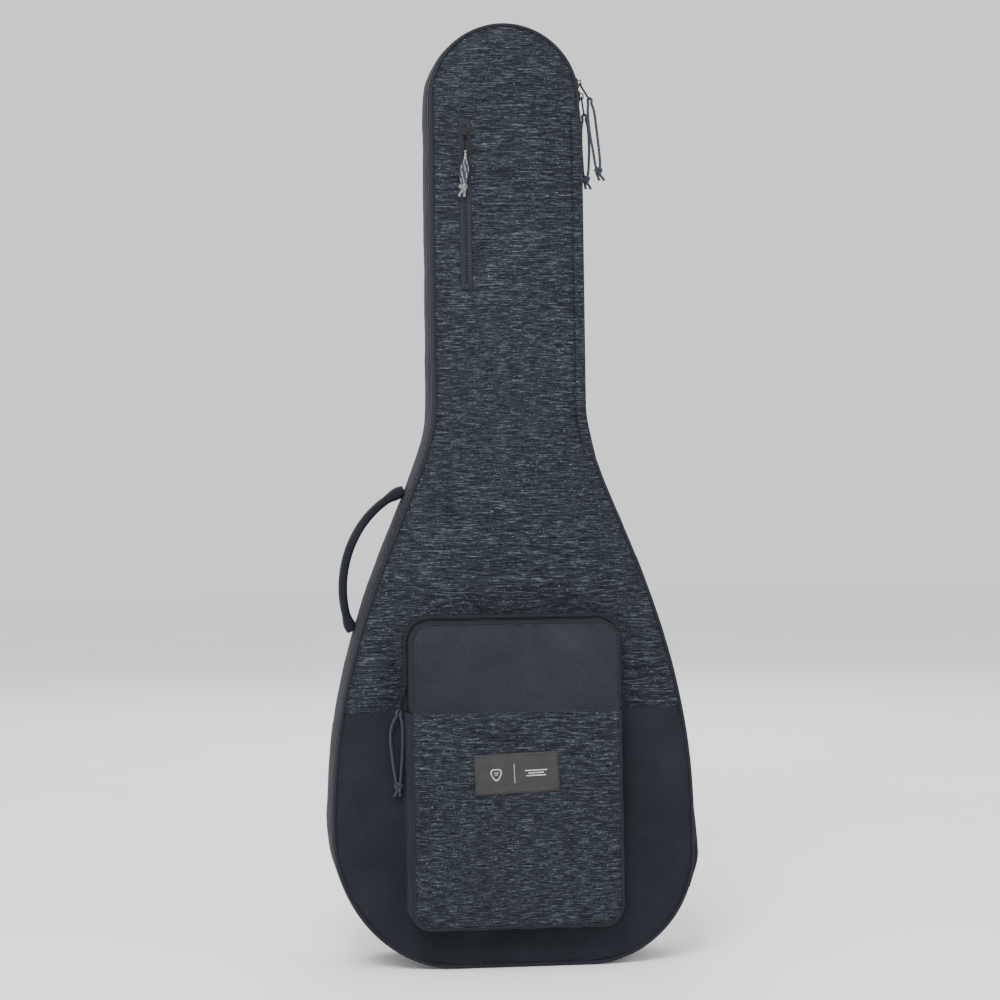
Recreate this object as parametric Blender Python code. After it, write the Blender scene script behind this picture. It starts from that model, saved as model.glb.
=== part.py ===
"""Padded gig bag for an acoustic guitar, standing upright on its base.

Metres, +Z up. The lid faces -Y and +X is the viewer's right. The origin is the centre of the flat base.
The bag is a shell (back, gusset, base) and a padded lid that opens on a zip round the left side.
"""

import math

import bmesh
import bpy
from mathutils import Matrix, Vector

# ---------------------------------------------------------------- driving dimensions
HEIGHT = 1.120
BOUT_HALF_WIDTH = 0.216      # half of the widest part
BOUT_HEIGHT = 0.165          # height of the widest part
LEFT_BASE_END = 0.070        # how far the flat that the bag stands on reaches from the middle
LEFT_CORNER_HEIGHT = 0.165
RIGHT_BASE_END = 0.088       # the right corner, by the zip's end, is fuller and lower
RIGHT_CORNER_HEIGHT = 0.132
NECK_HALF_WIDTH = 0.090
NECK_FOOT = 0.665            # where the straight neck begins
HEAD_CENTRE = HEIGHT - NECK_HALF_WIDTH
BASE_DEPTH = 0.132
TOP_DEPTH = 0.096

FABRIC = 0.0012              # one layer of woven fabric or tape
PANEL_SKIN = 0.0024          # face fabric on its scrim
GAP = 0.0003                 # clearance between touching pieces
PIPING_RADIUS = 0.0020
PIPING_INSET = 0.0022
SKIN_INSET = 0.0046          # face fabric stops beside the piping
FOAM_INSET = FABRIC + GAP
GUSSET_FOAM = 0.010
LINING = 0.0008

LID_FOAM = 0.010
ZIP_LINE = 0.0140            # depth of the main zip behind the lid's face
ZIP_TAPE = 0.0120

SEAM_HEIGHT = 0.3033         # seam between woven upper and plain lower fabric on the lid
ZIP_END_LOW = 0.130          # lower right end of the main zip
ZIP_END_HIGH = 1.022         # right end of the main zip at the head

POCKET_HALF_WIDTH = 0.129
POCKET_FOOT = 0.046
POCKET_TOP = 0.415
POCKET_CORNER = 0.030
POCKET_DEPTH = 0.036
POCKET_WALL = 0.0028
POCKET_LEAN = 0.0075         # the pocket's face is smaller than its footprint by this
POCKET_ZIP_OUT = 0.0105      # the pocket's zip stands this far off the lid

LABEL_CENTRE = (-0.0015, 0.2330)
LABEL_HALF_LONG = 0.050
LABEL_HALF_TALL = 0.0238
LABEL_TILT = math.radians(2.0)

NECK_ZIP_X = -0.0485
NECK_ZIP_LOW = 0.806
NECK_ZIP_HIGH = 1.002

LID_SLOPE = (BASE_DEPTH - TOP_DEPTH) / HEIGHT
BACK = BASE_DEPTH / 2
BACK_FOAM_REAR = BACK - PANEL_SKIN - GAP
BACK_FOAM_FRONT = BACK_FOAM_REAR - 0.012
GUSSET_REAR = BACK_FOAM_FRONT - GAP
SHELL_LINING_INSET = FOAM_INSET + GUSSET_FOAM + GAP


# ---------------------------------------------------------------- scene and helpers
def clear_scene():
    for item in list(bpy.data.objects):
        bpy.data.objects.remove(item, do_unlink=True)


def material(name, colour, roughness, metallic=0.0):
    made = bpy.data.materials.new(name)
    made.use_nodes = True
    shader = made.node_tree.nodes["Principled BSDF"]
    shader.inputs["Base Color"].default_value = (*colour, 1.0)
    shader.inputs["Roughness"].default_value = roughness
    shader.inputs["Metallic"].default_value = metallic
    return made


COLOURS = {
    "woven": ((0.045, 0.055, 0.070), 0.9),
    "plain": ((0.022, 0.025, 0.032), 0.85),
    "binding": ((0.030, 0.034, 0.043), 0.8),
    "tape": ((0.012, 0.012, 0.014), 0.7),
    "foam": ((0.10, 0.10, 0.11), 0.95),
    "lining": ((0.05, 0.05, 0.055), 0.95),
    "webbing": ((0.015, 0.015, 0.017), 0.8),
    "cord": ((0.06, 0.07, 0.085), 0.8),
    "braid": ((0.25, 0.25, 0.25), 0.8),
    "label": ((0.07, 0.07, 0.075), 0.6),
    "plastic": ((0.012, 0.012, 0.013), 0.4),
    "metal": ((0.10, 0.10, 0.105), 0.35),
    "rubber": ((0.02, 0.02, 0.02), 0.7),
}


def add_mesh(name, finish, points, faces, origin=None):
    """One closed mesh object, its faces turned outwards, its origin at the given point."""
    mesh = bpy.data.meshes.new(name)
    mesh.from_pydata([tuple(p) for p in points], [], faces)
    work = bmesh.new()
    work.from_mesh(mesh)
    bmesh.ops.recalc_face_normals(work, faces=work.faces)
    work.to_mesh(mesh)
    work.free()
    if origin is not None:
        mesh.transform(Matrix.Translation(-Vector(origin)))
    item = bpy.data.objects.new(name, mesh)
    if origin is not None:
        item.location = origin
    bpy.context.collection.objects.link(item)
    colour, roughness = COLOURS[finish]
    metallic = 1.0 if finish == "metal" else 0.0
    mesh.materials.append(material(name, colour, roughness, metallic))
    return item


def smooth(item, degrees=40):
    item.data.shade_smooth()
    item.data.set_sharp_from_angle(angle=math.radians(degrees))


def boolean(item, cutter, operation):
    cutter.hide_render = True
    cutter.display_type = "WIRE"
    cut = item.modifiers.new(operation.lower() + "_" + cutter.name, "BOOLEAN")
    cut.operation = operation
    cut.solver = "EXACT"
    cut.object = cutter


def box(name, finish, low, high):
    corners = [
        (x, y, z)
        for x in (low[0], high[0])
        for y in (low[1], high[1])
        for z in (low[2], high[2])
    ]
    faces = [(0, 1, 3, 2), (4, 6, 7, 5), (0, 4, 5, 1), (2, 3, 7, 6), (0, 2, 6, 4), (1, 5, 7, 3)]
    return add_mesh(name, finish, corners, faces)


# ---------------------------------------------------------------- the bag's outline
def station(x, z, tangent_x, tangent_z):
    """A point of an outline that runs anticlockwise seen from the front, with its outward normal."""
    length = math.hypot(tangent_x, tangent_z)
    return (x, z, tangent_z / length, -tangent_x / length)


def side_outline(base_end, corner_height):
    """Stations up one side, drawn as the right one, from the base's end to the straight neck's top."""
    found = []
    across = BOUT_HALF_WIDTH - base_end
    for i in range(9):
        turn = math.radians(90) * i / 8
        x = base_end + across * math.sin(turn)
        z = corner_height * (1 - math.cos(turn))
        found.append(station(x, z, across * math.cos(turn), corner_height * math.sin(turn)))
    if corner_height < BOUT_HEIGHT:
        found.append(station(BOUT_HALF_WIDTH, BOUT_HEIGHT, 0, 1))
    waist = [
        (BOUT_HALF_WIDTH, BOUT_HEIGHT),
        (BOUT_HALF_WIDTH, 0.425),
        (NECK_HALF_WIDTH, 0.571),
        (NECK_HALF_WIDTH, NECK_FOOT),
    ]
    for i in range(1, 10):
        t = i / 9
        blend = ((1 - t) ** 3, 3 * (1 - t) ** 2 * t, 3 * (1 - t) * t * t, t ** 3)
        slope = (-(1 - t) ** 2, (1 - t) ** 2 - 2 * (1 - t) * t, 2 * (1 - t) * t - t * t, t * t)
        x = sum(b * p[0] for b, p in zip(blend, waist))
        z = sum(b * p[1] for b, p in zip(blend, waist))
        dx = sum(s * p[0] for s, p in zip(slope, waist))
        dz = sum(s * p[1] for s, p in zip(slope, waist))
        found.append(station(x, z, dx, dz))
    found.append(station(NECK_HALF_WIDTH, HEAD_CENTRE, 0, 1))
    return found


def full_outline():
    """The whole outline, anticlockwise seen from the front, starting at the base's right end."""
    right = side_outline(RIGHT_BASE_END, RIGHT_CORNER_HEIGHT)
    head = []
    for i in range(1, 16):
        turn = math.radians(180) * i / 16
        x = NECK_HALF_WIDTH * math.cos(turn)
        z = HEAD_CENTRE + NECK_HALF_WIDTH * math.sin(turn)
        head.append(station(x, z, -math.sin(turn), math.cos(turn)))
    left = side_outline(LEFT_BASE_END, LEFT_CORNER_HEIGHT)
    return right + head + [(-x, z, -nx, nz) for x, z, nx, nz in reversed(left)]


def rounded_rectangle(half_width, low, high, radius, steps=5):
    """Stations round an upright rectangle with round corners, starting at its lower right side."""
    corners = [
        (half_width - radius, low + radius, -90),
        (half_width - radius, high - radius, 0),
        (radius - half_width, high - radius, 90),
        (radius - half_width, low + radius, 180),
    ]
    found = []
    for x, z, start in corners:
        for i in range(steps + 1):
            turn = math.radians(start + 90 * i / steps)
            c = math.cos(turn)
            s = math.sin(turn)
            found.append(station(x + radius * c, z + radius * s, -s, c))
    return found


def between(loop, start, end):
    """The stretch of a closed loop from one place to another, going anticlockwise.

    A place is (side, height), and side is +1 on the right and -1 on the left.
    """
    count = len(loop)

    def find(side, height):
        for i in range(count):
            a = loop[i]
            b = loop[(i + 1) % count]
            low, high = sorted((a[1], b[1]))
            if (a[0] + b[0]) * side > 0 and low <= height < high:
                t = (height - a[1]) / (b[1] - a[1])
                cut = tuple(p + (q - p) * t for p, q in zip(a, b))
                return i, cut
        raise ValueError("no such place on the outline")

    first, first_cut = find(*start)
    last, last_cut = find(*end)
    found = [first_cut]
    i = first
    while i != last or not found[1:]:
        i = (i + 1) % count
        here = loop[i]
        if math.dist(here[:2], found[-1][:2]) > 0.001 and math.dist(here[:2], last_cut[:2]) > 0.001:
            found.append(here)
        if i == last:
            break
    found.append(last_cut)
    return found


def front(z, behind=0.0):
    """The lid's face at a height, or a place that far behind it."""
    return -BASE_DEPTH / 2 + LID_SLOPE * z + behind


def place(spot, inset, depth):
    """A point at an inset from a station. Depth is a number, or a function of height."""
    x, z, nx, nz = spot
    x -= nx * inset
    z -= nz * inset
    return (x, depth(z) if callable(depth) else depth, z)


def behind_face(distance):
    return lambda z: front(z, distance)


def sweep(name, finish, stations, corners, closed=False):
    """A strip or ring. Its cross-section's corners are (inset, depth) pairs."""
    points = [place(spot, inset, depth) for spot in stations for inset, depth in corners]
    side = len(corners)
    count = len(stations)
    faces = []
    for i in range(count if closed else count - 1):
        a = i * side
        b = (i + 1) % count * side
        for j in range(side):
            k = (j + 1) % side
            faces.append((a + j, a + k, b + k, b + j))
    if not closed:
        faces.append(tuple(range(side)))
        faces.append(tuple(range((count - 1) * side, count * side)))
    return add_mesh(name, finish, points, faces)


def flat_section(inset_out, inset_in, near, far):
    return [(inset_out, near), (inset_out, far), (inset_in, far), (inset_in, near)]


def tube_section(inset, behind, radius, sides=6):
    """A round bead's corners, at an inset and a depth behind the lid's face."""
    found = []
    for i in range(sides):
        turn = math.radians(360) * (i + 0.5) / sides
        found.append((inset + radius * math.cos(turn), behind(radius * math.sin(turn))))
    return found


def plate(name, finish, loop, near, far):
    """A flat sheet with the outline's shape between two depths."""
    count = len(loop)
    points = [(x, near(z) if callable(near) else near, z) for x, z in loop]
    points += [(x, far(z) if callable(far) else far, z) for x, z in loop]
    faces = [tuple(range(count)), tuple(range(2 * count - 1, count - 1, -1))]
    for i in range(count):
        k = (i + 1) % count
        faces.append((i, i + count, k + count, k))
    return add_mesh(name, finish, points, faces)


def inset_loop(stations, inset):
    return [(x - nx * inset, z - nz * inset) for x, z, nx, nz in stations]


def cut_loop(loop, low, high):
    """The part of a closed outline between two heights."""
    found = []
    for i, a in enumerate(loop):
        b = loop[(i + 1) % len(loop)]
        if low <= a[1] <= high:
            found.append(a)
        crossings = []
        for level in (low, high):
            if (a[1] - level) * (b[1] - level) < 0:
                t = (level - a[1]) / (b[1] - a[1])
                crossings.append((t, (a[0] + (b[0] - a[0]) * t, level)))
        found += [point for _, point in sorted(crossings)]
    return found


# ---------------------------------------------------------------- shell
def make_shell(outline):
    plate("back_panel", "plain", inset_loop(outline, SKIN_INSET), BACK - PANEL_SKIN, BACK)
    plate("back_foam", "foam", inset_loop(outline, FOAM_INSET), BACK_FOAM_FRONT, BACK_FOAM_REAR)
    inner = inset_loop(outline, SHELL_LINING_INSET + LINING + GAP)
    plate("back_lining", "lining", inner, GUSSET_REAR - LINING, GUSSET_REAR)
    bead = tube_section(PIPING_INSET, lambda dy: BACK + dy, PIPING_RADIUS)
    smooth(sweep("back_piping", "binding", outline, bead, closed=True))

    low = 0.0016
    split = HEAD_CENTRE - 0.010
    base = between(outline, (-1, low - GAP), (1, low - GAP))
    foam_near = behind_face(ZIP_LINE + 0.0004)
    foam_section = flat_section(FOAM_INSET, FOAM_INSET + GUSSET_FOAM, foam_near, GUSSET_REAR)
    foams = {
        "right": between(outline, (1, low), (1, split - GAP)),
        "head": between(outline, (1, split), (-1, split)),
        "left": between(outline, (-1, split - GAP), (-1, low)),
        "base": base,
    }
    for where, stretch in foams.items():
        sweep("gusset_foam_" + where, "foam", stretch, foam_section)
    cover_near = behind_face(ZIP_LINE + 0.0004 + ZIP_TAPE + GAP)
    cover_section = flat_section(0.0, FABRIC, cover_near, BACK_FOAM_REAR - 0.0002)
    covers = {
        "hinge_side": between(outline, (1, low), (1, split - GAP)),
        "zip_side": between(outline, (1, split), (-1, low)),
        "base": base,
    }
    for where, stretch in covers.items():
        sweep("gusset_cover_" + where, "plain", stretch, cover_section)
    lining = flat_section(
        SHELL_LINING_INSET, SHELL_LINING_INSET + LINING, foam_near, GUSSET_REAR
    )
    sweep("gusset_lining", "lining", outline, lining, closed=True)


def make_zip_and_hinge(outline):
    """The zip runs from the head's right side over the top, down the left and round the base."""
    zipped = between(outline, (1, ZIP_END_HIGH), (1, ZIP_END_LOW))
    hinge = between(outline, (1, ZIP_END_LOW + 0.0006), (1, ZIP_END_HIGH - 0.0006))
    near = behind_face(ZIP_LINE + 0.0004)
    far = behind_face(ZIP_LINE + 0.0004 + ZIP_TAPE)
    sweep("main_zip_tape_shell", "tape", zipped, flat_section(0.0, FABRIC, near, far))
    sweep("hinge_strip", "plain", hinge, flat_section(0.0, FABRIC, near, far))
    near = behind_face(0.0028)
    far = behind_face(ZIP_LINE - 0.0004)
    sweep("main_zip_tape_lid", "tape", zipped, flat_section(0.0, FABRIC, near, far))


# ---------------------------------------------------------------- lid
def make_lid(outline):
    face = inset_loop(outline, SKIN_INSET)
    seam_gap = GAP / 2
    upper = cut_loop(face, SEAM_HEIGHT + seam_gap, HEIGHT)
    lower = cut_loop(face, -1.0, SEAM_HEIGHT - seam_gap)
    plate("lid_upper_panel", "woven", upper, behind_face(0.0), behind_face(PANEL_SKIN))
    plate("lid_lower_panel", "plain", lower, behind_face(0.0), behind_face(PANEL_SKIN))
    foam_near = PANEL_SKIN + GAP
    foam = plate(
        "lid_foam",
        "foam",
        inset_loop(outline, FOAM_INSET),
        behind_face(foam_near),
        behind_face(foam_near + LID_FOAM),
    )
    lining_near = foam_near + LID_FOAM + GAP
    plate(
        "lid_lining",
        "lining",
        inset_loop(outline, FOAM_INSET),
        behind_face(lining_near),
        behind_face(ZIP_LINE - 0.0004),
    )
    bead = tube_section(
        PIPING_INSET, lambda dy: (lambda z: front(z, dy + 0.0001)), PIPING_RADIUS
    )
    smooth(sweep("lid_piping", "binding", outline, bead, closed=True))

    pouch = [(-0.075, 0.780), (0.035, 0.780), (0.035, 1.012), (-0.075, 1.012)]
    plate("neck_pocket_pouch", "lining", pouch, behind_face(0.0028), behind_face(0.0038))
    room = [(-0.0755, 0.7795), (0.0355, 0.7795), (0.0355, 1.0125), (-0.0755, 1.0125)]
    cutter = plate("pouch_room", "foam", room, behind_face(0.0010), behind_face(0.0042))
    boolean(foam, cutter, "DIFFERENCE")

    tape = [
        (NECK_ZIP_X - 0.007, NECK_ZIP_LOW),
        (NECK_ZIP_X + 0.007, NECK_ZIP_LOW),
        (NECK_ZIP_X + 0.007, NECK_ZIP_HIGH),
        (NECK_ZIP_X - 0.007, NECK_ZIP_HIGH),
    ]
    plate("neck_zip_tape", "tape", tape, behind_face(-0.0015), behind_face(-GAP))


# ---------------------------------------------------------------- front pocket
def make_pocket():
    outline = rounded_rectangle(POCKET_HALF_WIDTH, POCKET_FOOT, POCKET_TOP, POCKET_CORNER)
    split = SEAM_HEIGHT
    lower = between(outline, (-1, split - GAP), (1, split - GAP))
    upper = between(outline, (1, split + GAP), (-1, split + GAP))
    foot = behind_face(-GAP)
    out = POCKET_DEPTH - POCKET_WALL - GAP
    wall = [
        (0.0, foot),
        (POCKET_LEAN, behind_face(-out)),
        (POCKET_LEAN + POCKET_WALL, behind_face(-out)),
        (POCKET_WALL, foot),
    ]
    sweep("pocket_wall", "plain", lower, wall)
    band = flat_section(0.0, POCKET_WALL, foot, behind_face(-POCKET_ZIP_OUT + 0.0045))
    sweep("pocket_base_band", "binding", upper, band)
    for where, way in (("base", 1), ("flap", -1)):
        near = behind_face(-POCKET_ZIP_OUT + way * 0.0042)
        far = behind_face(-POCKET_ZIP_OUT + way * GAP)
        sweep("pocket_zip_tape_" + where, "tape", upper, flat_section(0.0, FABRIC, near, far))
    wall = [
        (0.0, behind_face(-POCKET_ZIP_OUT - 0.0045)),
        (POCKET_LEAN, behind_face(-out)),
        (POCKET_LEAN + POCKET_WALL, behind_face(-out)),
        (POCKET_WALL, behind_face(-POCKET_ZIP_OUT - 0.0045)),
    ]
    sweep("pocket_flap_band", "binding", upper, wall)
    face = inset_loop(outline, POCKET_LEAN)
    near = behind_face(-POCKET_DEPTH)
    far = behind_face(-POCKET_DEPTH + POCKET_WALL)
    plate("pocket_front", "woven", cut_loop(face, -1.0, split - GAP), near, far)
    plate("pocket_flap", "plain", cut_loop(face, split + GAP, HEIGHT), near, far)

    corners = []
    for side, rise in ((-1, -1), (1, -1), (1, 1), (-1, 1)):
        u = side * LABEL_HALF_LONG
        v = rise * LABEL_HALF_TALL
        x = LABEL_CENTRE[0] + u * math.cos(LABEL_TILT) - v * math.sin(LABEL_TILT)
        z = LABEL_CENTRE[1] + u * math.sin(LABEL_TILT) + v * math.cos(LABEL_TILT)
        corners.append((x, z))
    near = behind_face(-POCKET_DEPTH - FABRIC - GAP)
    plate("pocket_label", "label", corners, near, behind_face(-POCKET_DEPTH - GAP))


# ---------------------------------------------------------------- handle
def curve_through(controls, t):
    a, b, c, d = [Vector(p) for p in controls]
    return a * (1 - t) ** 3 + b * 3 * (1 - t) ** 2 * t + c * 3 * (1 - t) * t * t + d * t ** 3


def band_along(name, finish, centres, sideways, width, thickness, chamfer=0.25):
    """A flat band with softened edges along a line of points. Sideways is the width's direction."""
    sideways = Vector(sideways).normalized()
    half_w = width / 2
    half_t = thickness / 2
    cut = thickness * chamfer
    profile = [
        (-half_w + cut, -half_t),
        (half_w - cut, -half_t),
        (half_w, -half_t + cut),
        (half_w, half_t - cut),
        (half_w - cut, half_t),
        (-half_w + cut, half_t),
        (-half_w, half_t - cut),
        (-half_w, -half_t + cut),
    ]
    centres = [Vector(p) for p in centres]
    points = []
    for i, centre in enumerate(centres):
        before = centres[max(i - 1, 0)]
        after = centres[min(i + 1, len(centres) - 1)]
        up = (after - before).cross(sideways).normalized()
        points += [centre + sideways * w + up * t for w, t in profile]
    side = len(profile)
    faces = [tuple(range(side)), tuple(range((len(centres) - 1) * side, len(centres) * side))]
    for i in range(len(centres) - 1):
        for j in range(side):
            k = (j + 1) % side
            faces.append((i * side + j, i * side + k, (i + 1) * side + k, (i + 1) * side + j))
    return add_mesh(name, finish, points, faces)


HANDLE_Y = 0.016
HANDLE_CURVE = [
    (-0.1220, HANDLE_Y, 0.5640),
    (-0.1900, HANDLE_Y, 0.5360),
    (-0.2120, HANDLE_Y, 0.4520),
    (-0.1860, HANDLE_Y, 0.3960),
]


HANDLE_WIDE = 0.026
HANDLE_THICK = 0.0100
HANDLE_TAB_WIDE = 0.022
HANDLE_TAB_THICK = 0.0060
GRIP_FROM = 0.085            # shares of the curve
GRIP_TO = 0.915
GRIP_CLEARANCE = 0.028       # room for the grip's ends to swing past the sewn tabs


def make_handle():
    across = (0, 1, 0)
    steps = 14
    shares = [GRIP_FROM + (GRIP_TO - GRIP_FROM) * i / steps for i in range(steps + 1)]
    grip = [curve_through(HANDLE_CURVE, t) for t in shares]
    smooth(band_along("handle_grip", "plain", grip, across, HANDLE_WIDE, HANDLE_THICK))
    tabs = {
        "upper": (0.0, GRIP_FROM - GRIP_CLEARANCE),
        "lower": (GRIP_TO + GRIP_CLEARANCE, 1.0),
    }
    for where, (start, end) in tabs.items():
        line = [curve_through(HANDLE_CURVE, t) for t in (start, (start + end) / 2, end)]
        band_along("handle_anchor_" + where, "webbing", line, across, HANDLE_TAB_WIDE, HANDLE_TAB_THICK)


# ---------------------------------------------------------------- shoulder straps on the back
STRAP_TOP = (0.045, 0.668)
STRAP_LOW = (0.176, 0.112)
STRAP_STAND_OFF = 0.010
STRAP_BOW = 0.022
ANCHOR_THICK = 0.0150
ANCHOR_CENTRE = GAP + ANCHOR_THICK / 2
PAD_FROM, PAD_TO = 0.03, 0.63            # shares of the way from the top anchor to the low one
LADDER_FROM, LADDER_TO = 0.634, 0.696
WEBBING_FROM, WEBBING_TO = 0.700, 0.970
TAB_FROM, TAB_TO = 0.974, 1.012


def strap_point(side, t):
    """A point on a shoulder strap's middle line, from its top anchor to its low anchor."""
    x = STRAP_TOP[0] + (STRAP_LOW[0] - STRAP_TOP[0]) * t
    z = STRAP_TOP[1] + (STRAP_LOW[1] - STRAP_TOP[1]) * t
    y = BACK + STRAP_STAND_OFF + STRAP_BOW * math.sin(math.pi * t)
    return (side * x, y, z)


def make_straps():
    run = Vector((STRAP_LOW[0] - STRAP_TOP[0], 0, STRAP_LOW[1] - STRAP_TOP[1])).normalized()
    for side, where in ((1, "right"), (-1, "left")):
        across = Vector((-run.z, 0, side * run.x))
        pad = [strap_point(side, PAD_FROM + (PAD_TO - PAD_FROM) * i / 10) for i in range(11)]
        smooth(band_along("strap_pad_" + where, "plain", pad, across, 0.060, 0.0090, 0.4))
        reach = WEBBING_TO - WEBBING_FROM
        web = [strap_point(side, WEBBING_FROM + reach * i / 5) for i in range(6)]
        band_along("strap_webbing_" + where, "webbing", web, across, 0.025, 0.0016)
        lock = [strap_point(side, t) for t in (LADDER_FROM, LADDER_TO)]
        ladder = band_along("strap_adjuster_" + where, "plastic", lock, across, 0.034, 0.0050, 0.2)
        smooth(ladder)
        tab = [strap_point(side, t) for t in (TAB_FROM, TAB_TO)]
        tab = [(x, BACK + ANCHOR_CENTRE, z) for x, _, z in tab]
        band_along("strap_anchor_low_" + where, "webbing", tab, across, 0.032, ANCHOR_THICK)
    patch_half = STRAP_TOP[0] + 0.034
    rear = BACK + GAP
    low = (-patch_half, rear, STRAP_TOP[1] - 0.006)
    high = (patch_half, rear + ANCHOR_THICK, STRAP_TOP[1] + 0.024)
    box("strap_anchor_top", "webbing", low, high)


# ---------------------------------------------------------------- pieces inside
CRADLE_LOW = 0.770
CRADLE_HIGH = 0.860


def make_interior():
    """The padded rest that holds the guitar's neck, its strap, and the pad under the end pin."""
    rear = GUSSET_REAR - LINING - GAP
    lining_half = NECK_HALF_WIDTH - SHELL_LINING_INSET - LINING
    half = lining_half - 0.002
    front_y = rear - 0.040
    groove = 0.034
    profile = [
        (-half, front_y),
        (-groove, front_y),
        (-groove * 0.7, rear - 0.016),
        (groove * 0.7, rear - 0.016),
        (groove, front_y),
        (half, front_y),
        (half, rear),
        (-half, rear),
    ]
    points = [(x, y, z) for z in (CRADLE_LOW, CRADLE_HIGH) for x, y in profile]
    count = len(profile)
    faces = [tuple(range(count)), tuple(range(count, 2 * count))]
    for i in range(count):
        k = (i + 1) % count
        faces.append((i, k, k + count, i + count))
    add_mesh("neck_cradle", "foam", points, faces)
    strap_y = front_y - GAP
    box(
        "neck_strap",
        "webbing",
        (-half + 0.004, strap_y - 0.002, 0.797),
        (half - 0.004, strap_y, 0.835),
    )
    bumper_low = SHELL_LINING_INSET + LINING + GAP
    box(
        "end_bumper",
        "rubber",
        (-0.060, -0.030, bumper_low),
        (0.060, 0.040, bumper_low + 0.012),
    )


# ---------------------------------------------------------------- sliders, pulls and cords
def frame_at(spot, normal, along):
    """A matrix whose x runs along the zip, y across it and z off the surface."""
    normal = Vector(normal).normalized()
    along = Vector(along)
    along = (along - normal * along.dot(normal)).normalized()
    across = normal.cross(along)
    turn = Matrix((along, across, normal)).transposed().to_4x4()
    return Matrix.Translation(spot) @ turn


SLIDER_LONG = 0.0120
SLIDER_WIDE = 0.0090
SLIDER_PLATE = 0.0026
ARCH_LONG = 0.0080
ARCH_WIDE = 0.0028
ARCH_TALL = 0.0042
ARCH_BAR = 0.0011
PIVOT_HEIGHT = SLIDER_PLATE + 0.0015
PIVOT_AHEAD = -0.0006
PULL_LONG = 0.0240
PULL_WIDE = 0.0066
PULL_THICK = 0.0012
PULL_RIM = 0.0013


def make_slider(name, place_in):
    """A zip slider: a plate with its pull's arch over it."""
    half_l = SLIDER_LONG / 2
    half_w = SLIDER_WIDE / 2
    outline = [
        (-half_l, -half_w * 0.6),
        (-half_l * 0.3, -half_w * 0.7),
        (half_l * 0.5, -half_w),
        (half_l, -half_w * 0.7),
        (half_l, half_w * 0.7),
        (half_l * 0.5, half_w),
        (-half_l * 0.3, half_w * 0.7),
        (-half_l, half_w * 0.6),
    ]
    points = [place_in @ Vector((x, y, z)) for z in (0.0, SLIDER_PLATE) for x, y in outline]
    count = len(outline)
    faces = [tuple(range(count)), tuple(range(count, 2 * count))]
    for i in range(count):
        k = (i + 1) % count
        faces.append((i, k, k + count, i + count))
    body = add_mesh(name, "metal", points, faces)
    low = SLIDER_PLATE - 0.0005
    top = SLIDER_PLATE + ARCH_TALL
    leg = 0.0014
    half_a = ARCH_LONG / 2
    arch = [
        (-half_a, low),
        (-half_a * 0.85, top),
        (half_a * 0.85, top),
        (half_a, low),
        (half_a - leg, low),
        (half_a - leg, top - ARCH_BAR),
        (-half_a + leg, top - ARCH_BAR),
        (-half_a + leg, low),
    ]
    half_b = ARCH_WIDE / 2
    points = [place_in @ Vector((x, y, z)) for y in (-half_b, half_b) for x, z in arch]
    count = len(arch)
    faces = [tuple(range(count)), tuple(range(count, 2 * count))]
    for i in range(count):
        k = (i + 1) % count
        faces.append((i, k, k + count, i + count))
    bridge = add_mesh(name + "_arch_shape", "metal", points, faces)
    boolean(body, bridge, "UNION")
    return body


def make_pull(name, place_in, lean_degrees):
    """A stadium-shaped wire pull hung in the slider's arch, and the place of its eye.

    It hangs back along the zip, leaning off the surface by an angle.
    """
    pivot = Vector((PIVOT_AHEAD, 0, PIVOT_HEIGHT))
    swing = place_in @ Matrix.Translation(pivot) @ Matrix.Rotation(math.radians(lean_degrees), 4, "Y")
    steps = 6
    half = PULL_WIDE / 2
    rings = []
    for shrink in (0.0, PULL_RIM):
        radius = half - shrink
        ring = []
        for start, end_x in ((90, -PULL_LONG + half), (-90, -half + PULL_RIM / 2)):
            for i in range(steps + 1):
                turn = math.radians(start + 180 * i / steps)
                ring.append((end_x + radius * math.cos(turn), radius * math.sin(turn)))
        rings.append(ring)
    count = len(rings[0])
    points = []
    for z in (-PULL_THICK / 2, PULL_THICK / 2):
        for ring in rings:
            points += [swing @ Vector((x, y, z)) for x, y in ring]
    faces = []
    for i in range(count):
        k = (i + 1) % count
        faces.append((i, k, count + k, count + i))
        faces.append((2 * count + i, 3 * count + i, 3 * count + k, 2 * count + k))
        faces.append((i, 2 * count + i, 2 * count + k, k))
        faces.append((count + i, count + k, 3 * count + k, 3 * count + i))
    add_mesh(name, "metal", points, faces, origin=place_in @ pivot)
    return swing @ Vector((-PULL_LONG, 0, 0))


def smooth_route(points, spacing):
    """Points at an even spacing on a Catmull-Rom curve through the route's own points."""
    points = [Vector(p) for p in points]
    padded = [points[0] * 2 - points[1]] + points + [points[-1] * 2 - points[-2]]
    dense = []
    for i in range(1, len(padded) - 2):
        p0, p1, p2, p3 = padded[i - 1:i + 3]
        for j in range(12):
            t = j / 12
            dense.append(
                (p1 * 2 + (p2 - p0) * t + (p0 * 2 - p1 * 5 + p2 * 4 - p3) * t * t
                 + (p1 * 3 - p0 - p2 * 3 + p3) * t ** 3) / 2
            )
    dense.append(points[-1])
    total = sum((b - a).length for a, b in zip(dense, dense[1:]))
    count = max(3, round(total / spacing))
    found = [dense[0]]
    walked = 0.0
    for a, b in zip(dense, dense[1:]):
        step = (b - a).length
        while len(found) < count and walked + step >= total * len(found) / count:
            found.append(a.lerp(b, (total * len(found) / count - walked) / step))
        walked += step
    found.append(dense[-1])
    return found


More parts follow.
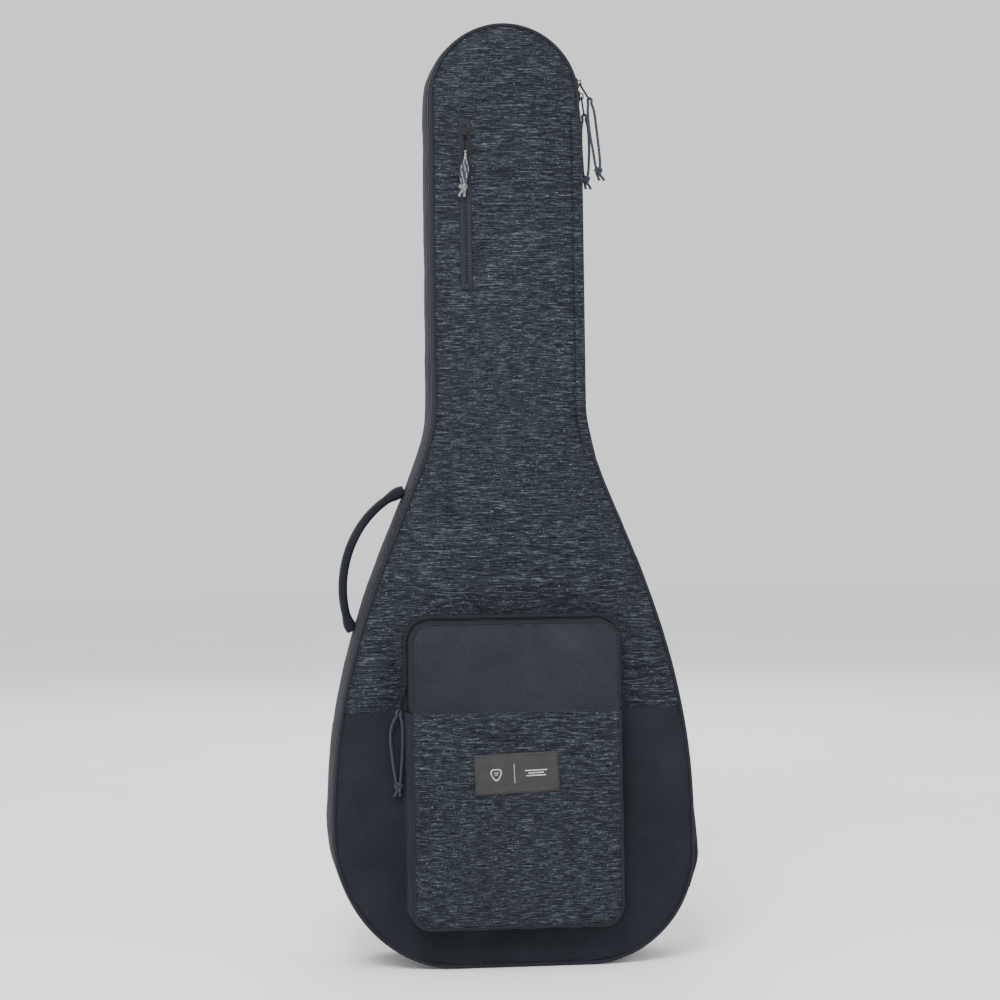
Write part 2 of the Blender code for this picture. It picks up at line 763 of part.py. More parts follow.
def make_cord(name, finish, route, diameter):
    curve = bpy.data.curves.new(name, "CURVE")
    curve.dimensions = "3D"
    curve.bevel_depth = diameter / 2
    curve.bevel_resolution = 2
    curve.use_fill_caps = True
    spots = smooth_route(route, diameter * 1.6)
    line = curve.splines.new("POLY")
    line.points.add(len(spots) - 1)
    for point, spot in zip(line.points, spots):
        point.co = (*spot, 1.0)
    item = bpy.data.objects.new(name, curve)
    bpy.context.collection.objects.link(item)
    colour, roughness = COLOURS[finish]
    curve.materials.append(material(name, colour, roughness))
    return item


def make_knot(name, finish, centre, radii):
    """A small rounded lump where the cord's ends are tied."""
    work = bmesh.new()
    bmesh.ops.create_uvsphere(work, u_segments=10, v_segments=6, radius=1.0)
    points = [Vector(centre) + Vector(v.co[i] * radii[i] for i in range(3)) for v in work.verts]
    faces = [tuple(v.index for v in face.verts) for face in work.faces]
    work.free()
    smooth(add_mesh(name, finish, points, faces), 60)


CORD = 0.0026
BRAID = 0.0048
KNOT_RADII = (0.0042, 0.0036, 0.0050)

# Each loop goes from the pull's eye down to its knot and back: metres from the eye.
LOOPS = {
    "main_1": [
        (-0.0018, 0, -0.0030), (-0.0026, -0.0015, -0.016), (-0.0006, -0.003, -0.040),
        (0.0032, -0.003, -0.062), (0.0056, -0.003, -0.0775), (0.0070, -0.003, -0.0812),
        (0.0092, -0.003, -0.0820), (0.0110, -0.003, -0.0800), (0.0114, -0.003, -0.0765),
        (0.0104, -0.003, -0.062), (0.0078, -0.003, -0.038), (0.0050, -0.0015, -0.014),
        (0.0018, 0, -0.0030),
    ],
    "main_2": [
        (-0.0018, 0, -0.0030), (-0.0034, 0.0015, -0.016), (-0.0032, 0.003, -0.038),
        (-0.0022, 0.003, -0.056), (-0.0014, 0.003, -0.0675), (-0.0004, 0.003, -0.0708),
        (0.0018, 0.003, -0.0720), (0.0038, 0.003, -0.0706), (0.0046, 0.003, -0.0670),
        (0.0054, 0.003, -0.056), (0.0060, 0.003, -0.036), (0.0046, 0.0015, -0.014),
        (0.0018, 0, -0.0030),
    ],
    "pocket": [
        (-0.0018, 0, -0.0030), (-0.0078, -0.001, -0.014), (-0.0102, -0.001, -0.030),
        (-0.0076, -0.001, -0.058), (-0.0046, 0, -0.0795), (-0.0034, 0, -0.0832),
        (-0.0012, 0, -0.0842), (0.0008, 0, -0.0826), (0.0014, 0, -0.0790),
        (0.0030, -0.001, -0.058), (0.0042, -0.001, -0.034), (0.0038, -0.001, -0.015),
        (0.0018, 0, -0.0030),
    ],
}
NECK_BRAID = [
    (0, 0, -0.0030), (-0.0006, -0.0008, -0.014),
    (-0.0012, -0.0008, -0.030), (-0.0020, -0.0004, -0.045),
]


def make_loop(which, body_name, eye):
    route = [eye + Vector(p) for p in LOOPS[which]]
    make_cord(body_name + "_cord", "cord", route, CORD)
    lowest = min(route, key=lambda p: p.z)
    knot = lowest - Vector((0, 0, CORD / 2 + KNOT_RADII[2] + GAP))
    make_knot(body_name + "_knot", "cord", knot, KNOT_RADII)


def head_spot(degrees, off):
    """A place on the main zip's line round the head, standing off it."""
    turn = math.radians(degrees)
    radius = NECK_HALF_WIDTH + off
    z = HEAD_CENTRE + radius * math.sin(turn)
    return Vector((radius * math.cos(turn), front(z, ZIP_LINE), z))


# Each slider's angle round the head from its right side, and its pull's lean off the surface.
MAIN_SLIDERS = {1: (13.0, 18.4), 2: (3.0, 5.1)}
POCKET_SLIDER_HEIGHT = 0.328
POCKET_PULL_LEAN = 8.0
NECK_SLIDER_HEIGHT = 0.988
NECK_PULL_LEAN = 4.0


def make_main_sliders():
    for number, (degrees, lean) in MAIN_SLIDERS.items():
        turn = math.radians(degrees)
        normal = (math.cos(turn), 0, math.sin(turn))
        along = (-math.sin(turn), 0, math.cos(turn))
        place_in = frame_at(head_spot(degrees, GAP), normal, along)
        make_slider(f"main_slider_{number}", place_in)
        eye = make_pull(f"main_pull_{number}", place_in, lean)
        make_loop(f"main_{number}", f"main_pull_{number}", eye)


def make_pocket_slider():
    z = POCKET_SLIDER_HEIGHT
    spot = Vector((-POCKET_HALF_WIDTH - GAP, front(z, -POCKET_ZIP_OUT), z))
    place_in = frame_at(spot, (-1, 0, 0), (0, LID_SLOPE, 1))
    make_slider("pocket_slider", place_in)
    eye = make_pull("pocket_pull", place_in, POCKET_PULL_LEAN)
    make_loop("pocket", "pocket_pull", eye)


def make_neck_slider():
    z = NECK_SLIDER_HEIGHT
    spot = Vector((NECK_ZIP_X, front(z, -0.0015 - GAP), z))
    place_in = frame_at(spot, (0, -1, 0), (0, LID_SLOPE, 1))
    make_slider("neck_slider", place_in)
    eye = make_pull("neck_pull", place_in, NECK_PULL_LEAN)
    make_cord("neck_pull_braid", "braid", [eye + Vector(p) for p in NECK_BRAID], BRAID)


def main():
    clear_scene()
    outline = full_outline()
    make_shell(outline)
    make_zip_and_hinge(outline)
    make_lid(outline)
    make_pocket()
    make_handle()
    make_straps()
    make_interior()
    make_main_sliders()
    make_pocket_slider()
    make_neck_slider()


main()
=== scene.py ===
"""Looks of a padded gig bag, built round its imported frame. Metres, +Z up, the lid faces -Y."""

import math

import bmesh
import bpy
import numpy as np
from mathutils import Matrix, Vector, kdtree, noise
from mathutils.bvhtree import BVHTree


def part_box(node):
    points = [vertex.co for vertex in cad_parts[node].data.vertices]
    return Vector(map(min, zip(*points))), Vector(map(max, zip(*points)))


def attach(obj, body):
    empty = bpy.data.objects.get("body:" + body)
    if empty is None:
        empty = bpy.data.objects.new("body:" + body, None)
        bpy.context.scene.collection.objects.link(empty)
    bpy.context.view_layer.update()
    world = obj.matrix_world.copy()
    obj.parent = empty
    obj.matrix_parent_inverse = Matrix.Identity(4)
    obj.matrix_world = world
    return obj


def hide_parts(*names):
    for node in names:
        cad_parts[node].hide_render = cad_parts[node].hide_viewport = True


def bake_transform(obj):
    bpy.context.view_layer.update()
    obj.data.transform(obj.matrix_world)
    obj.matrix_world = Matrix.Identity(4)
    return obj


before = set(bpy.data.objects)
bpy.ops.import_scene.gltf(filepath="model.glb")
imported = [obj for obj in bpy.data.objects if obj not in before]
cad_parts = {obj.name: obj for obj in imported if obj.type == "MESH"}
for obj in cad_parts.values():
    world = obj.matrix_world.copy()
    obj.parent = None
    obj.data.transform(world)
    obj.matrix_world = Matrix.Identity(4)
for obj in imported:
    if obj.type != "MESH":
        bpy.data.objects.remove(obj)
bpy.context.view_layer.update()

# ---------------------------------------------------------------- sizes, from the frame
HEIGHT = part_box("main_zip_tape_lid")[1].z
BOUT_HALF_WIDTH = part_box("main_zip_tape_lid")[1].x
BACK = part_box("back_panel")[1].y
NECK_HALF_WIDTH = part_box("gusset_foam_head")[1].x + 0.0015
SEAM_HEIGHT = (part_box("lid_upper_panel")[0].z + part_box("lid_lower_panel")[1].z) / 2
ZIP_END_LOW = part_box("hinge_strip")[0].z
ZIP_END_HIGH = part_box("hinge_strip")[1].z
POCKET_LOW, POCKET_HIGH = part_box("pocket_wall")[0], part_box("pocket_base_band")[1]
POCKET_HALF_WIDTH = POCKET_HIGH.x
POCKET_FOOT = POCKET_LOW.z
POCKET_TOP = POCKET_HIGH.z
NECK_ZIP_LOW, NECK_ZIP_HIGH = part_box("neck_zip_tape")

LEFT_CORNER = (0.070, 0.165)
RIGHT_CORNER = (0.088, 0.132)
BOUT_HEIGHT = 0.165
NECK_FOOT = 0.665
HEAD_CENTRE = HEIGHT - NECK_HALF_WIDTH
LID_SLOPE = 0.036 / 1.120
FACE_AT_BASE = -0.066
POCKET_CORNER = 0.030
PIPING_RADIUS = 0.0022
SHELL_COVER_START = 0.0267
STEP = 0.003


def front(z, behind=0.0):
    """The lid's flat face at a height, or a place that far behind it."""
    return FACE_AT_BASE + LID_SLOPE * z + behind


# ---------------------------------------------------------------- materials
def shader(name, roughness, metallic=0.0, specular=0.3, sheen=0.0, sheen_tint=(1, 1, 1)):
    made = bpy.data.materials.new(name)
    made.use_nodes = True
    tree = made.node_tree
    main = tree.nodes["Principled BSDF"]
    main.inputs["Roughness"].default_value = roughness
    main.inputs["Metallic"].default_value = metallic
    main.inputs["Specular IOR Level"].default_value = specular
    main.inputs["Sheen Weight"].default_value = sheen
    main.inputs["Sheen Roughness"].default_value = 0.45
    main.inputs["Sheen Tint"].default_value = (*sheen_tint, 1)
    coords = tree.nodes.new("ShaderNodeTexCoord")
    return made, tree, main, coords.outputs["Object"]


def mapped(tree, source, scale, rotation=(0, 0, 0)):
    node = tree.nodes.new("ShaderNodeMapping")
    node.inputs["Scale"].default_value = scale
    node.inputs["Rotation"].default_value = rotation
    tree.links.new(source, node.inputs["Vector"])
    return node.outputs["Vector"]


def noise_of(tree, source, scale, detail=3.0, rough=0.5, distort=0.0):
    node = tree.nodes.new("ShaderNodeTexNoise")
    node.inputs["Scale"].default_value = scale
    node.inputs["Detail"].default_value = detail
    node.inputs["Roughness"].default_value = rough
    node.inputs["Distortion"].default_value = distort
    tree.links.new(source, node.inputs["Vector"])
    return node.outputs["Fac"]


def wave_of(tree, source, scale, direction="X", distort=0.0):
    node = tree.nodes.new("ShaderNodeTexWave")
    node.wave_type = "BANDS"
    node.bands_direction = direction
    node.inputs["Scale"].default_value = scale
    node.inputs["Distortion"].default_value = distort
    node.inputs["Detail"].default_value = 1.0
    tree.links.new(source, node.inputs["Vector"])
    return node.outputs["Fac"]


def ramp(tree, source, stops):
    node = tree.nodes.new("ShaderNodeValToRGB")
    elements = node.color_ramp.elements
    while len(elements) < len(stops):
        elements.new(0.5)
    for element, (spot, colour) in zip(elements, stops):
        element.position = spot
        element.color = (*colour, 1.0) if len(colour) == 3 else colour
    tree.links.new(source, node.inputs["Fac"])
    return node.outputs["Color"]


def grey(value):
    return (value, value, value)


def mixed(tree, first, second, factor, kind="MIX"):
    node = tree.nodes.new("ShaderNodeMix")
    node.data_type = "RGBA"
    node.blend_type = kind
    if isinstance(factor, float):
        node.inputs["Factor"].default_value = factor
    else:
        tree.links.new(factor, node.inputs["Factor"])
    for value, socket in ((first, node.inputs["A"]), (second, node.inputs["B"])):
        if isinstance(value, tuple):
            socket.default_value = (*value, 1.0)
        else:
            tree.links.new(value, socket)
    return node.outputs["Result"]


def maths(tree, operation, first, second):
    node = tree.nodes.new("ShaderNodeMath")
    node.operation = operation
    for value, socket in ((first, node.inputs[0]), (second, node.inputs[1])):
        if isinstance(value, (int, float)):
            socket.default_value = value
        else:
            tree.links.new(value, socket)
    return node.outputs["Value"]


def bump(tree, main, height, distance, strength=1.0):
    node = tree.nodes.new("ShaderNodeBump")
    node.inputs["Distance"].default_value = distance
    node.inputs["Strength"].default_value = strength
    tree.links.new(height, node.inputs["Height"])
    tree.links.new(node.outputs["Normal"], main.inputs["Normal"])


def weave_height(tree, coords, threads_per_metre):
    """Over-and-under threads across X and Z, and across Y on the sides."""
    scale = threads_per_metre / (2 * math.pi) * 0.5
    warp = wave_of(tree, mapped(tree, coords, (1, 1, 0)), scale, "DIAGONAL", 0.4)
    weft = wave_of(tree, mapped(tree, coords, (0, 0, 1)), scale, "Z", 0.4)
    return maths(tree, "MULTIPLY", warp, weft)


def woven_fabric():
    """Blue-grey cloth of mixed yarns: pale and dark slubs run along the weft, which is level."""
    made, tree, main, coords = shader(
        "woven_fabric", 0.88, specular=0.12, sheen=0.03, sheen_tint=(0.75, 0.85, 1.0)
    )
    long_slubs = noise_of(tree, mapped(tree, coords, (58, 58, 900)), 1.0, 3.0, 0.62)
    short_slubs = noise_of(tree, mapped(tree, coords, (180, 180, 1600)), 1.0, 2.0, 0.6)
    upright = noise_of(tree, mapped(tree, coords, (1500, 1500, 220)), 1.0, 2.0, 0.55)
    yarn = maths(tree, "MULTIPLY", long_slubs, 0.50)
    for slubs, share in ((short_slubs, 0.32), (upright, 0.18)):
        yarn = maths(tree, "ADD", yarn, maths(tree, "MULTIPLY", slubs, share))
    base = ramp(
        tree,
        yarn,
        [
            (0.38, (0.0028, 0.0040, 0.0064)),
            (0.47, (0.0076, 0.0096, 0.0130)),
            (0.54, (0.0184, 0.0222, 0.0276)),
            (0.63, (0.0780, 0.0870, 0.0990)),
        ],
    )
    flecks = noise_of(tree, mapped(tree, coords, (420, 420, 800)), 1.0, 1.0, 0.5)
    fleck_mask = ramp(tree, flecks, [(0.73, grey(0.0)), (0.79, grey(1.0))])
    coloured = mixed(tree, base, (0.20, 0.22, 0.235), fleck_mask)
    patches = noise_of(tree, mapped(tree, coords, (9, 9, 7)), 1.0, 2.0, 0.5)
    shade = ramp(tree, patches, [(0.3, grey(0.90)), (0.7, grey(1.08))])
    tree.links.new(mixed(tree, coloured, shade, 1.0, "MULTIPLY"), main.inputs["Base Color"])
    weave = maths(tree, "MULTIPLY", weave_height(tree, coords, 1700), 0.25)
    bump(tree, main, maths(tree, "ADD", yarn, weave), 0.0005, 0.55)
    return made


def plain_fabric(name="plain_fabric", colour=(0.0098, 0.0110, 0.0152), threads=2200):
    """Close plain weave, matt, a little uneven."""
    made, tree, main, coords = shader(name, 0.84, specular=0.14, sheen=0.03, sheen_tint=(0.8, 0.85, 1.0))
    grain = noise_of(tree, mapped(tree, coords, (700, 700, 700)), 1.0, 3.0, 0.65)
    patches = noise_of(tree, coords, 14.0, 3.0, 0.55)
    low = tuple(c * 0.74 for c in colour)
    high = tuple(c * 1.3216 for c in colour)
    tone = ramp(tree, grain, [(0.33, low), (0.68, high)])
    shade = ramp(tree, patches, [(0.3, grey(0.78)), (0.72, grey(1.18))])
    tree.links.new(mixed(tree, tone, shade, 1.0, "MULTIPLY"), main.inputs["Base Color"])
    weave = weave_height(tree, coords, threads)
    bump(tree, main, maths(tree, "ADD", weave, maths(tree, "MULTIPLY", grain, 0.8)), 0.0003, 0.5)
    return made


def ribbed_fabric(name, colour, ribs):
    """Grosgrain binding, zip tape or webbing: fine ribs with a slight sheen."""
    made, tree, main, coords = shader(name, 0.75, specular=0.18, sheen=0.02)
    rib = wave_of(tree, coords, ribs / (2 * math.pi) * 0.5, "DIAGONAL", 0.6)
    grain = noise_of(tree, mapped(tree, coords, (500, 500, 500)), 1.0, 3.0, 0.6)
    low = tuple(c * 0.72 for c in colour)
    high = tuple(c * 1.3 for c in colour)
    tone = ramp(tree, grain, [(0.3, low), (0.7, high)])
    tree.links.new(tone, main.inputs["Base Color"])
    bump(tree, main, maths(tree, "ADD", rib, maths(tree, "MULTIPLY", grain, 0.5)), 0.00025, 0.5)
    return made


def cord_material(name="cord", low=(0.010, 0.012, 0.017), high=(0.042, 0.050, 0.064)):
    made, tree, main, coords = shader(name, 0.8, specular=0.2, sheen=0.1)
    twist = wave_of(tree, mapped(tree, coords, (300, 300, 520), (0.5, 0.5, 0)), 1.0, "DIAGONAL", 0.5)
    fibre = noise_of(tree, mapped(tree, coords, (900, 900, 300)), 1.0, 2.0)
    strands = maths(tree, "ADD", maths(tree, "MULTIPLY", twist, 0.6), maths(tree, "MULTIPLY", fibre, 0.4))
    tone = ramp(tree, strands, [(0.2, low), (0.8, high)])
    tree.links.new(tone, main.inputs["Base Color"])
    bump(tree, main, twist, 0.0004, 0.7)
    return made


def braid_material():
    """Black and white strands in a check, as on braided accessory cord."""
    made, tree, main, coords = shader("braided_cord", 0.75, specular=0.25)
    check = tree.nodes.new("ShaderNodeTexChecker")
    check.inputs["Scale"].default_value = 1.0
    check.inputs["Color1"].default_value = (0.27, 0.27, 0.265, 1)
    check.inputs["Color2"].default_value = (0.010, 0.010, 0.012, 1)
    tree.links.new(mapped(tree, coords, (300, 300, 300), (0.0, 0.785, 0.0)), check.inputs["Vector"])
    fibre = noise_of(tree, mapped(tree, coords, (1200, 1200, 500)), 1.0, 2.0)
    shade = ramp(tree, fibre, [(0.3, grey(0.65)), (0.7, grey(1.1))])
    tree.links.new(mixed(tree, check.outputs["Color"], shade, 1.0, "MULTIPLY"), main.inputs["Base Color"])
    bump(tree, main, fibre, 0.0003, 0.6)
    return made


def plush_lining():
    made, tree, main, coords = shader(
        "lining", 0.95, specular=0.1, sheen=0.35, sheen_tint=(0.8, 0.85, 0.95)
    )
    nap = noise_of(tree, mapped(tree, coords, (420, 420, 420)), 1.0, 4.0, 0.7)
    brushed = noise_of(tree, mapped(tree, coords, (26, 26, 12)), 1.0, 2.0, 0.5, 0.6)
    tone = ramp(tree, nap, [(0.3, (0.030, 0.032, 0.036)), (0.7, (0.075, 0.080, 0.088))])
    shade = ramp(tree, brushed, [(0.35, grey(0.80)), (0.65, grey(1.15))])
    tree.links.new(mixed(tree, tone, shade, 1.0, "MULTIPLY"), main.inputs["Base Color"])
    bump(tree, main, nap, 0.0009, 0.7)
    return made


def label_material():
    made, tree, main, coords = shader("label", 0.6, specular=0.35)
    grain = tree.nodes.new("ShaderNodeTexVoronoi")
    grain.inputs["Scale"].default_value = 900
    tree.links.new(coords, grain.inputs["Vector"])
    wear = noise_of(tree, mapped(tree, coords, (60, 60, 60)), 1.0, 4.0, 0.6)
    tone = ramp(tree, wear, [(0.3, (0.0120, 0.0120, 0.0126)), (0.7, (0.0184, 0.0182, 0.0188))])
    tree.links.new(tone, main.inputs["Base Color"])
    bump(tree, main, grain.outputs["Distance"], 0.0002, 0.5)
    return made


def metal_material():
    made, tree, main, coords = shader("metal", 0.48, metallic=0.1, specular=0.22)
    wear = noise_of(tree, mapped(tree, coords, (300, 300, 300)), 1.0, 4.0, 0.6)
    tone = ramp(tree, wear, [(0.35, (0.004, 0.004, 0.005)), (0.7, (0.012, 0.012, 0.013))])
    tree.links.new(tone, main.inputs["Base Color"])
    rough = ramp(tree, wear, [(0.3, grey(0.42)), (0.7, grey(0.58))])
    tree.links.new(rough, main.inputs["Roughness"])
    bump(tree, main, wear, 0.0001, 0.3)
    return made


def moulded_material(name, colour, roughness):
    made, tree, main, coords = shader(name, roughness, specular=0.4)
    grain = noise_of(tree, mapped(tree, coords, (1400, 1400, 1400)), 1.0, 2.0, 0.5)
    low = tuple(c * 0.8 for c in colour)
    high = tuple(c * 1.25 for c in colour)
    tone = ramp(tree, grain, [(0.3, low), (0.7, high)])
    tree.links.new(tone, main.inputs["Base Color"])
    bump(tree, main, grain, 0.0001, 0.4)
    return made


MATERIALS = {
    "woven_fabric": woven_fabric(),
    "plain_fabric": plain_fabric(),
    # The flap's fabric is the plain fabric made lighter: a painted highlight for the flap catching more
    # light from above.
    "flap_fabric_painted_highlight": plain_fabric("flap_fabric_painted_highlight", (0.0146, 0.0158, 0.0207)),
    "binding": ribbed_fabric("binding", (0.0096, 0.0108, 0.0145), 1400),
    "zip_tape": ribbed_fabric("zip_tape", (0.0052, 0.0056, 0.0072), 1100),
    "pale_tape": ribbed_fabric("pale_tape", (0.0120, 0.0136, 0.0180), 1100),
    "coil": moulded_material("coil", (0.006, 0.006, 0.007), 0.42),
    "thread": moulded_material("thread", (0.012, 0.0135, 0.018), 0.6),
    "label_thread": moulded_material("label_thread", (0.33, 0.33, 0.32), 0.6),
    "lining": plush_lining(),
    "webbing": ribbed_fabric("webbing", (0.0080, 0.0088, 0.0115), 800),
    "cord": cord_material(),
    "pale_cord": cord_material("pale_cord", (0.035, 0.035, 0.038), (0.26, 0.26, 0.27)),
    "braided_cord": braid_material(),
    "label": label_material(),
    "plastic": moulded_material("plastic", (0.014, 0.014, 0.015), 0.38),
    "metal": metal_material(),
    "rubber": moulded_material("rubber", (0.022, 0.022, 0.022), 0.7),
    "foam": plain_fabric("foam_cover", (0.05, 0.052, 0.056), 1500),
}


# ---------------------------------------------------------------- mesh tools
def finish_piece(item, finish, body=None, replaces=()):
    """Gives a piece its material, slot, body and the CAD nodes that it stands for."""
    item.data.materials.clear()
    item.data.materials.append(MATERIALS[finish])
    if replaces:
        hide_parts(*replaces)
    if body:
        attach(item, body)
    return item


def mesh_object(name, points, faces, shade=True):
    mesh = bpy.data.meshes.new(name)
    mesh.from_pydata([tuple(map(float, p)) for p in points], [], [tuple(map(int, f)) for f in faces])
    mesh.update()
    if shade:
        mesh.shade_smooth()
    item = bpy.data.objects.new(name, mesh)
    bpy.context.collection.objects.link(item)
    return item


def grid_faces(rows, columns, close_rows=False, close_columns=False):
    r = np.arange(rows if close_rows else rows - 1)
    c = np.arange(columns if close_columns else columns - 1)
    r, c = np.meshgrid(r, c, indexing="ij")
    r, c = r.ravel(), c.ravel()
    r2, c2 = (r + 1) % rows, (c + 1) % columns
    return np.stack([r * columns + c, r * columns + c2, r2 * columns + c2, r2 * columns + c], 1)


def outward(item):
    work = bmesh.new()
    work.from_mesh(item.data)
    bmesh.ops.recalc_face_normals(work, faces=work.faces)
    work.to_mesh(item.data)
    work.free()
    item.data.shade_smooth()


def grid_object(name, points, close_rows=False, close_columns=False, caps=False, flip=False):
    """A surface through an array of points, rows by columns by 3."""
    rows, columns = points.shape[:2]
    faces = grid_faces(rows, columns, close_rows, close_columns).tolist()
    if flip:
        faces = [f[::-1] for f in faces]
    flat = points.reshape(-1, 3)
    if caps:
        faces += [list(range(columns)), list(range((rows - 1) * columns, rows * columns))]
    item = mesh_object(name, flat, faces)
    if caps:
        outward(item)
    return item


def thicken(item, thickness, offset=-1.0):
    solid = item.modifiers.new("thickness", "SOLIDIFY")
    solid.thickness = thickness
    solid.offset = offset
    solid.use_even_offset = False
    return item


def baked(item):
    """The item with its modifiers applied to its mesh."""
    graph = bpy.context.evaluated_depsgraph_get()
    mesh = bpy.data.meshes.new_from_object(item.evaluated_get(graph))
    item.modifiers.clear()
    item.data = mesh
    return item


def joined(items):
    with bpy.context.temp_override(active_object=items[0], selected_editable_objects=items):
        bpy.ops.object.join()
    return items[0]


def rumple(x, y, z, size, seed=0.0):
    return noise.noise(Vector((x / size + seed, y / size - seed, z / size + 2 * seed)))


def noise_grid(x, z, size_x, size_z, seed):
    flat = [
        noise.noise(Vector((a / size_x + seed, seed * 1.7, b / size_z)))
        for a, b in zip(x.ravel(), z.ravel())
    ]
    return np.array(flat).reshape(x.shape)


# ---------------------------------------------------------------- outlines
def even(points, spacing, closed):
    """Points, normals and all, at an even spacing along a line of stations."""
    line = np.vstack([points, points[:1]]) if closed else points
    walked = np.concatenate([[0], np.cumsum(np.hypot(*np.diff(line[:, :2], axis=0).T))])
    count = int(round(walked[-1] / spacing))
    spots = np.linspace(0, walked[-1], count + 1)[: count if closed else count + 1]
    found = np.stack([np.interp(spots, walked, line[:, k]) for k in range(line.shape[1])], 1)
    found[:, 2:4] /= np.hypot(found[:, 2], found[:, 3])[:, None]
    return found


def side_outline(base_end, corner_height):
    """Stations up one side, drawn as the right one."""
    turn = np.radians(np.linspace(0, 90, 60))
    across = BOUT_HALF_WIDTH - base_end
    corner = np.stack([
        base_end + across * np.sin(turn), corner_height * (1 - np.cos(turn)),
        corner_height * np.sin(turn), -across * np.cos(turn),
    ], 1)
    t = np.linspace(0, 1, 120)[:, None]
    t = t[1:] if corner_height == BOUT_HEIGHT else t
    a, b, c, d = np.array([
        (BOUT_HALF_WIDTH, BOUT_HEIGHT), (BOUT_HALF_WIDTH, 0.425),
        (NECK_HALF_WIDTH, 0.571), (NECK_HALF_WIDTH, NECK_FOOT),
    ])
    place = (1 - t) ** 3 * a + 3 * (1 - t) ** 2 * t * b + 3 * (1 - t) * t * t * c + t ** 3 * d
    run = (1 - t) ** 2 * (b - a) + 2 * (1 - t) * t * (c - b) + t * t * (d - c)
    return np.vstack([corner, np.hstack([place, run[:, 1:], -run[:, :1]])])


def bag_outline():
    """Stations (x, z, normal x, normal z) anticlockwise from the base's right end."""
    turn = np.radians(np.linspace(0, 180, 160))
    head = np.stack([
        NECK_HALF_WIDTH * np.cos(turn), HEAD_CENTRE + NECK_HALF_WIDTH * np.sin(turn),
        np.cos(turn), np.sin(turn),
    ], 1)
    left = side_outline(*LEFT_CORNER)[::-1] * np.array([-1, 1, -1, 1])
    whole = np.vstack([side_outline(*RIGHT_CORNER), head, left])
    whole[:, 2:4] /= np.hypot(whole[:, 2], whole[:, 3])[:, None]
    return even(whole, STEP, True)


def pocket_outline():
    found = []
    reach = POCKET_HALF_WIDTH - POCKET_CORNER
    for x, z, start in (
        (reach, POCKET_FOOT + POCKET_CORNER, -90), (reach, POCKET_TOP - POCKET_CORNER, 0),
        (-reach, POCKET_TOP - POCKET_CORNER, 90), (-reach, POCKET_FOOT + POCKET_CORNER, 180),
    ):
        for turn in np.radians(np.linspace(start, start + 90, 30)):
            c, s = math.cos(turn), math.sin(turn)
            found.append((x + POCKET_CORNER * c, z + POCKET_CORNER * s, c, s))
    return even(np.array(found), STEP, True)


def normals(stations):
    """The outline's outward directions, as vectors in space."""
    return np.stack([stations[:, 2], 0 * stations[:, 2], stations[:, 3]], 1)


def walked_along(stations):
    """How far along a line each of its stations is."""
    steps = np.hypot(np.diff(stations[:, 0]), np.diff(stations[:, 1]))
    return np.concatenate([[0], np.cumsum(steps)])


def stretch(loop, start, end):
    """The part of a closed outline from one (side, height) to another, going anticlockwise."""
    def nearest(side, height):
        away = np.abs(loop[:, 1] - height) + 10 * (loop[:, 0] * side <= 0)
        return int(away.argmin())
    first, last = nearest(*start), nearest(*end)
    count = (last - first) % len(loop)
    return loop[(first + np.arange(count + 1)) % len(loop)]


def swept_points(stations, inset, behind):
    """Points at insets from an outline's stations, and distances behind the lid's face."""
    x = stations[:, 0, None] - stations[:, 2, None] * inset
    z = stations[:, 1, None] - stations[:, 3, None] * inset
    return np.stack([x, front(z, behind) + 0 * x, z], 2)


def ribbon(name, stations, insets, behinds, closed=False, flip=False):
    count = len(stations)
    inset = np.tile(np.array(insets, float), (count, 1))
    behind = np.tile(np.array(behinds, float), (count, 1))
    return grid_object(name, swept_points(stations, inset, behind), close_rows=closed, flip=flip)


OUTLINE = bag_outline()
POCKET = pocket_outline()
ZIPPED = stretch(OUTLINE, (1, ZIP_END_HIGH), (1, ZIP_END_LOW))
HINGED = stretch(OUTLINE, (1, ZIP_END_LOW), (1, ZIP_END_HIGH))


def distance_tree(stations):
    tree = kdtree.KDTree(len(stations))
    for i, row in enumerate(stations):
        tree.insert((row[0], row[1], 0), i)
    tree.balance()
    return tree


def distances(tree, x, z):
    return np.array([tree.find((a, b, 0))[2] for a, b in zip(x.ravel(), z.ravel())]).reshape(x.shape)


def side_edges(loop, inset):
    """Interpolators for a loop's left and right edges by height, at an inset that may vary."""
    x = loop[:, 0] - loop[:, 2] * inset
    z = loop[:, 1] - loop[:, 3] * inset
    right, left = x > 0, x < 0
    r, l = np.argsort(z[right]), np.argsort(z[left])
    return (
        lambda h: np.interp(h, z[right][r], x[right][r]),
        lambda h: np.interp(h, z[left][l], x[left][l]),
        z.min(),
        z.max(),
    )


def eased(count, gather=1.0):
    """Shares from 0 to 1, closer together near both ends."""
    t = np.linspace(0, 1, count)
    return (1 - gather) * t + gather * (1 - np.cos(math.pi * t)) / 2


def face_grid(loop, inset, low, high, rows, columns, gather=0.8):
    """x and z of a grid that fills a loop between two heights."""
    right, left, least, most = side_edges(loop, inset)
    low, high = max(low, least + 1e-4), min(high, most - 1e-4)
    z = low + (high - low) * eased(rows, gather)
    u = eased(columns, 0.75)
    x = left(z)[:, None] * (1 - u) + right(z)[:, None] * u
    return x, np.repeat(z[:, None], columns, 1)


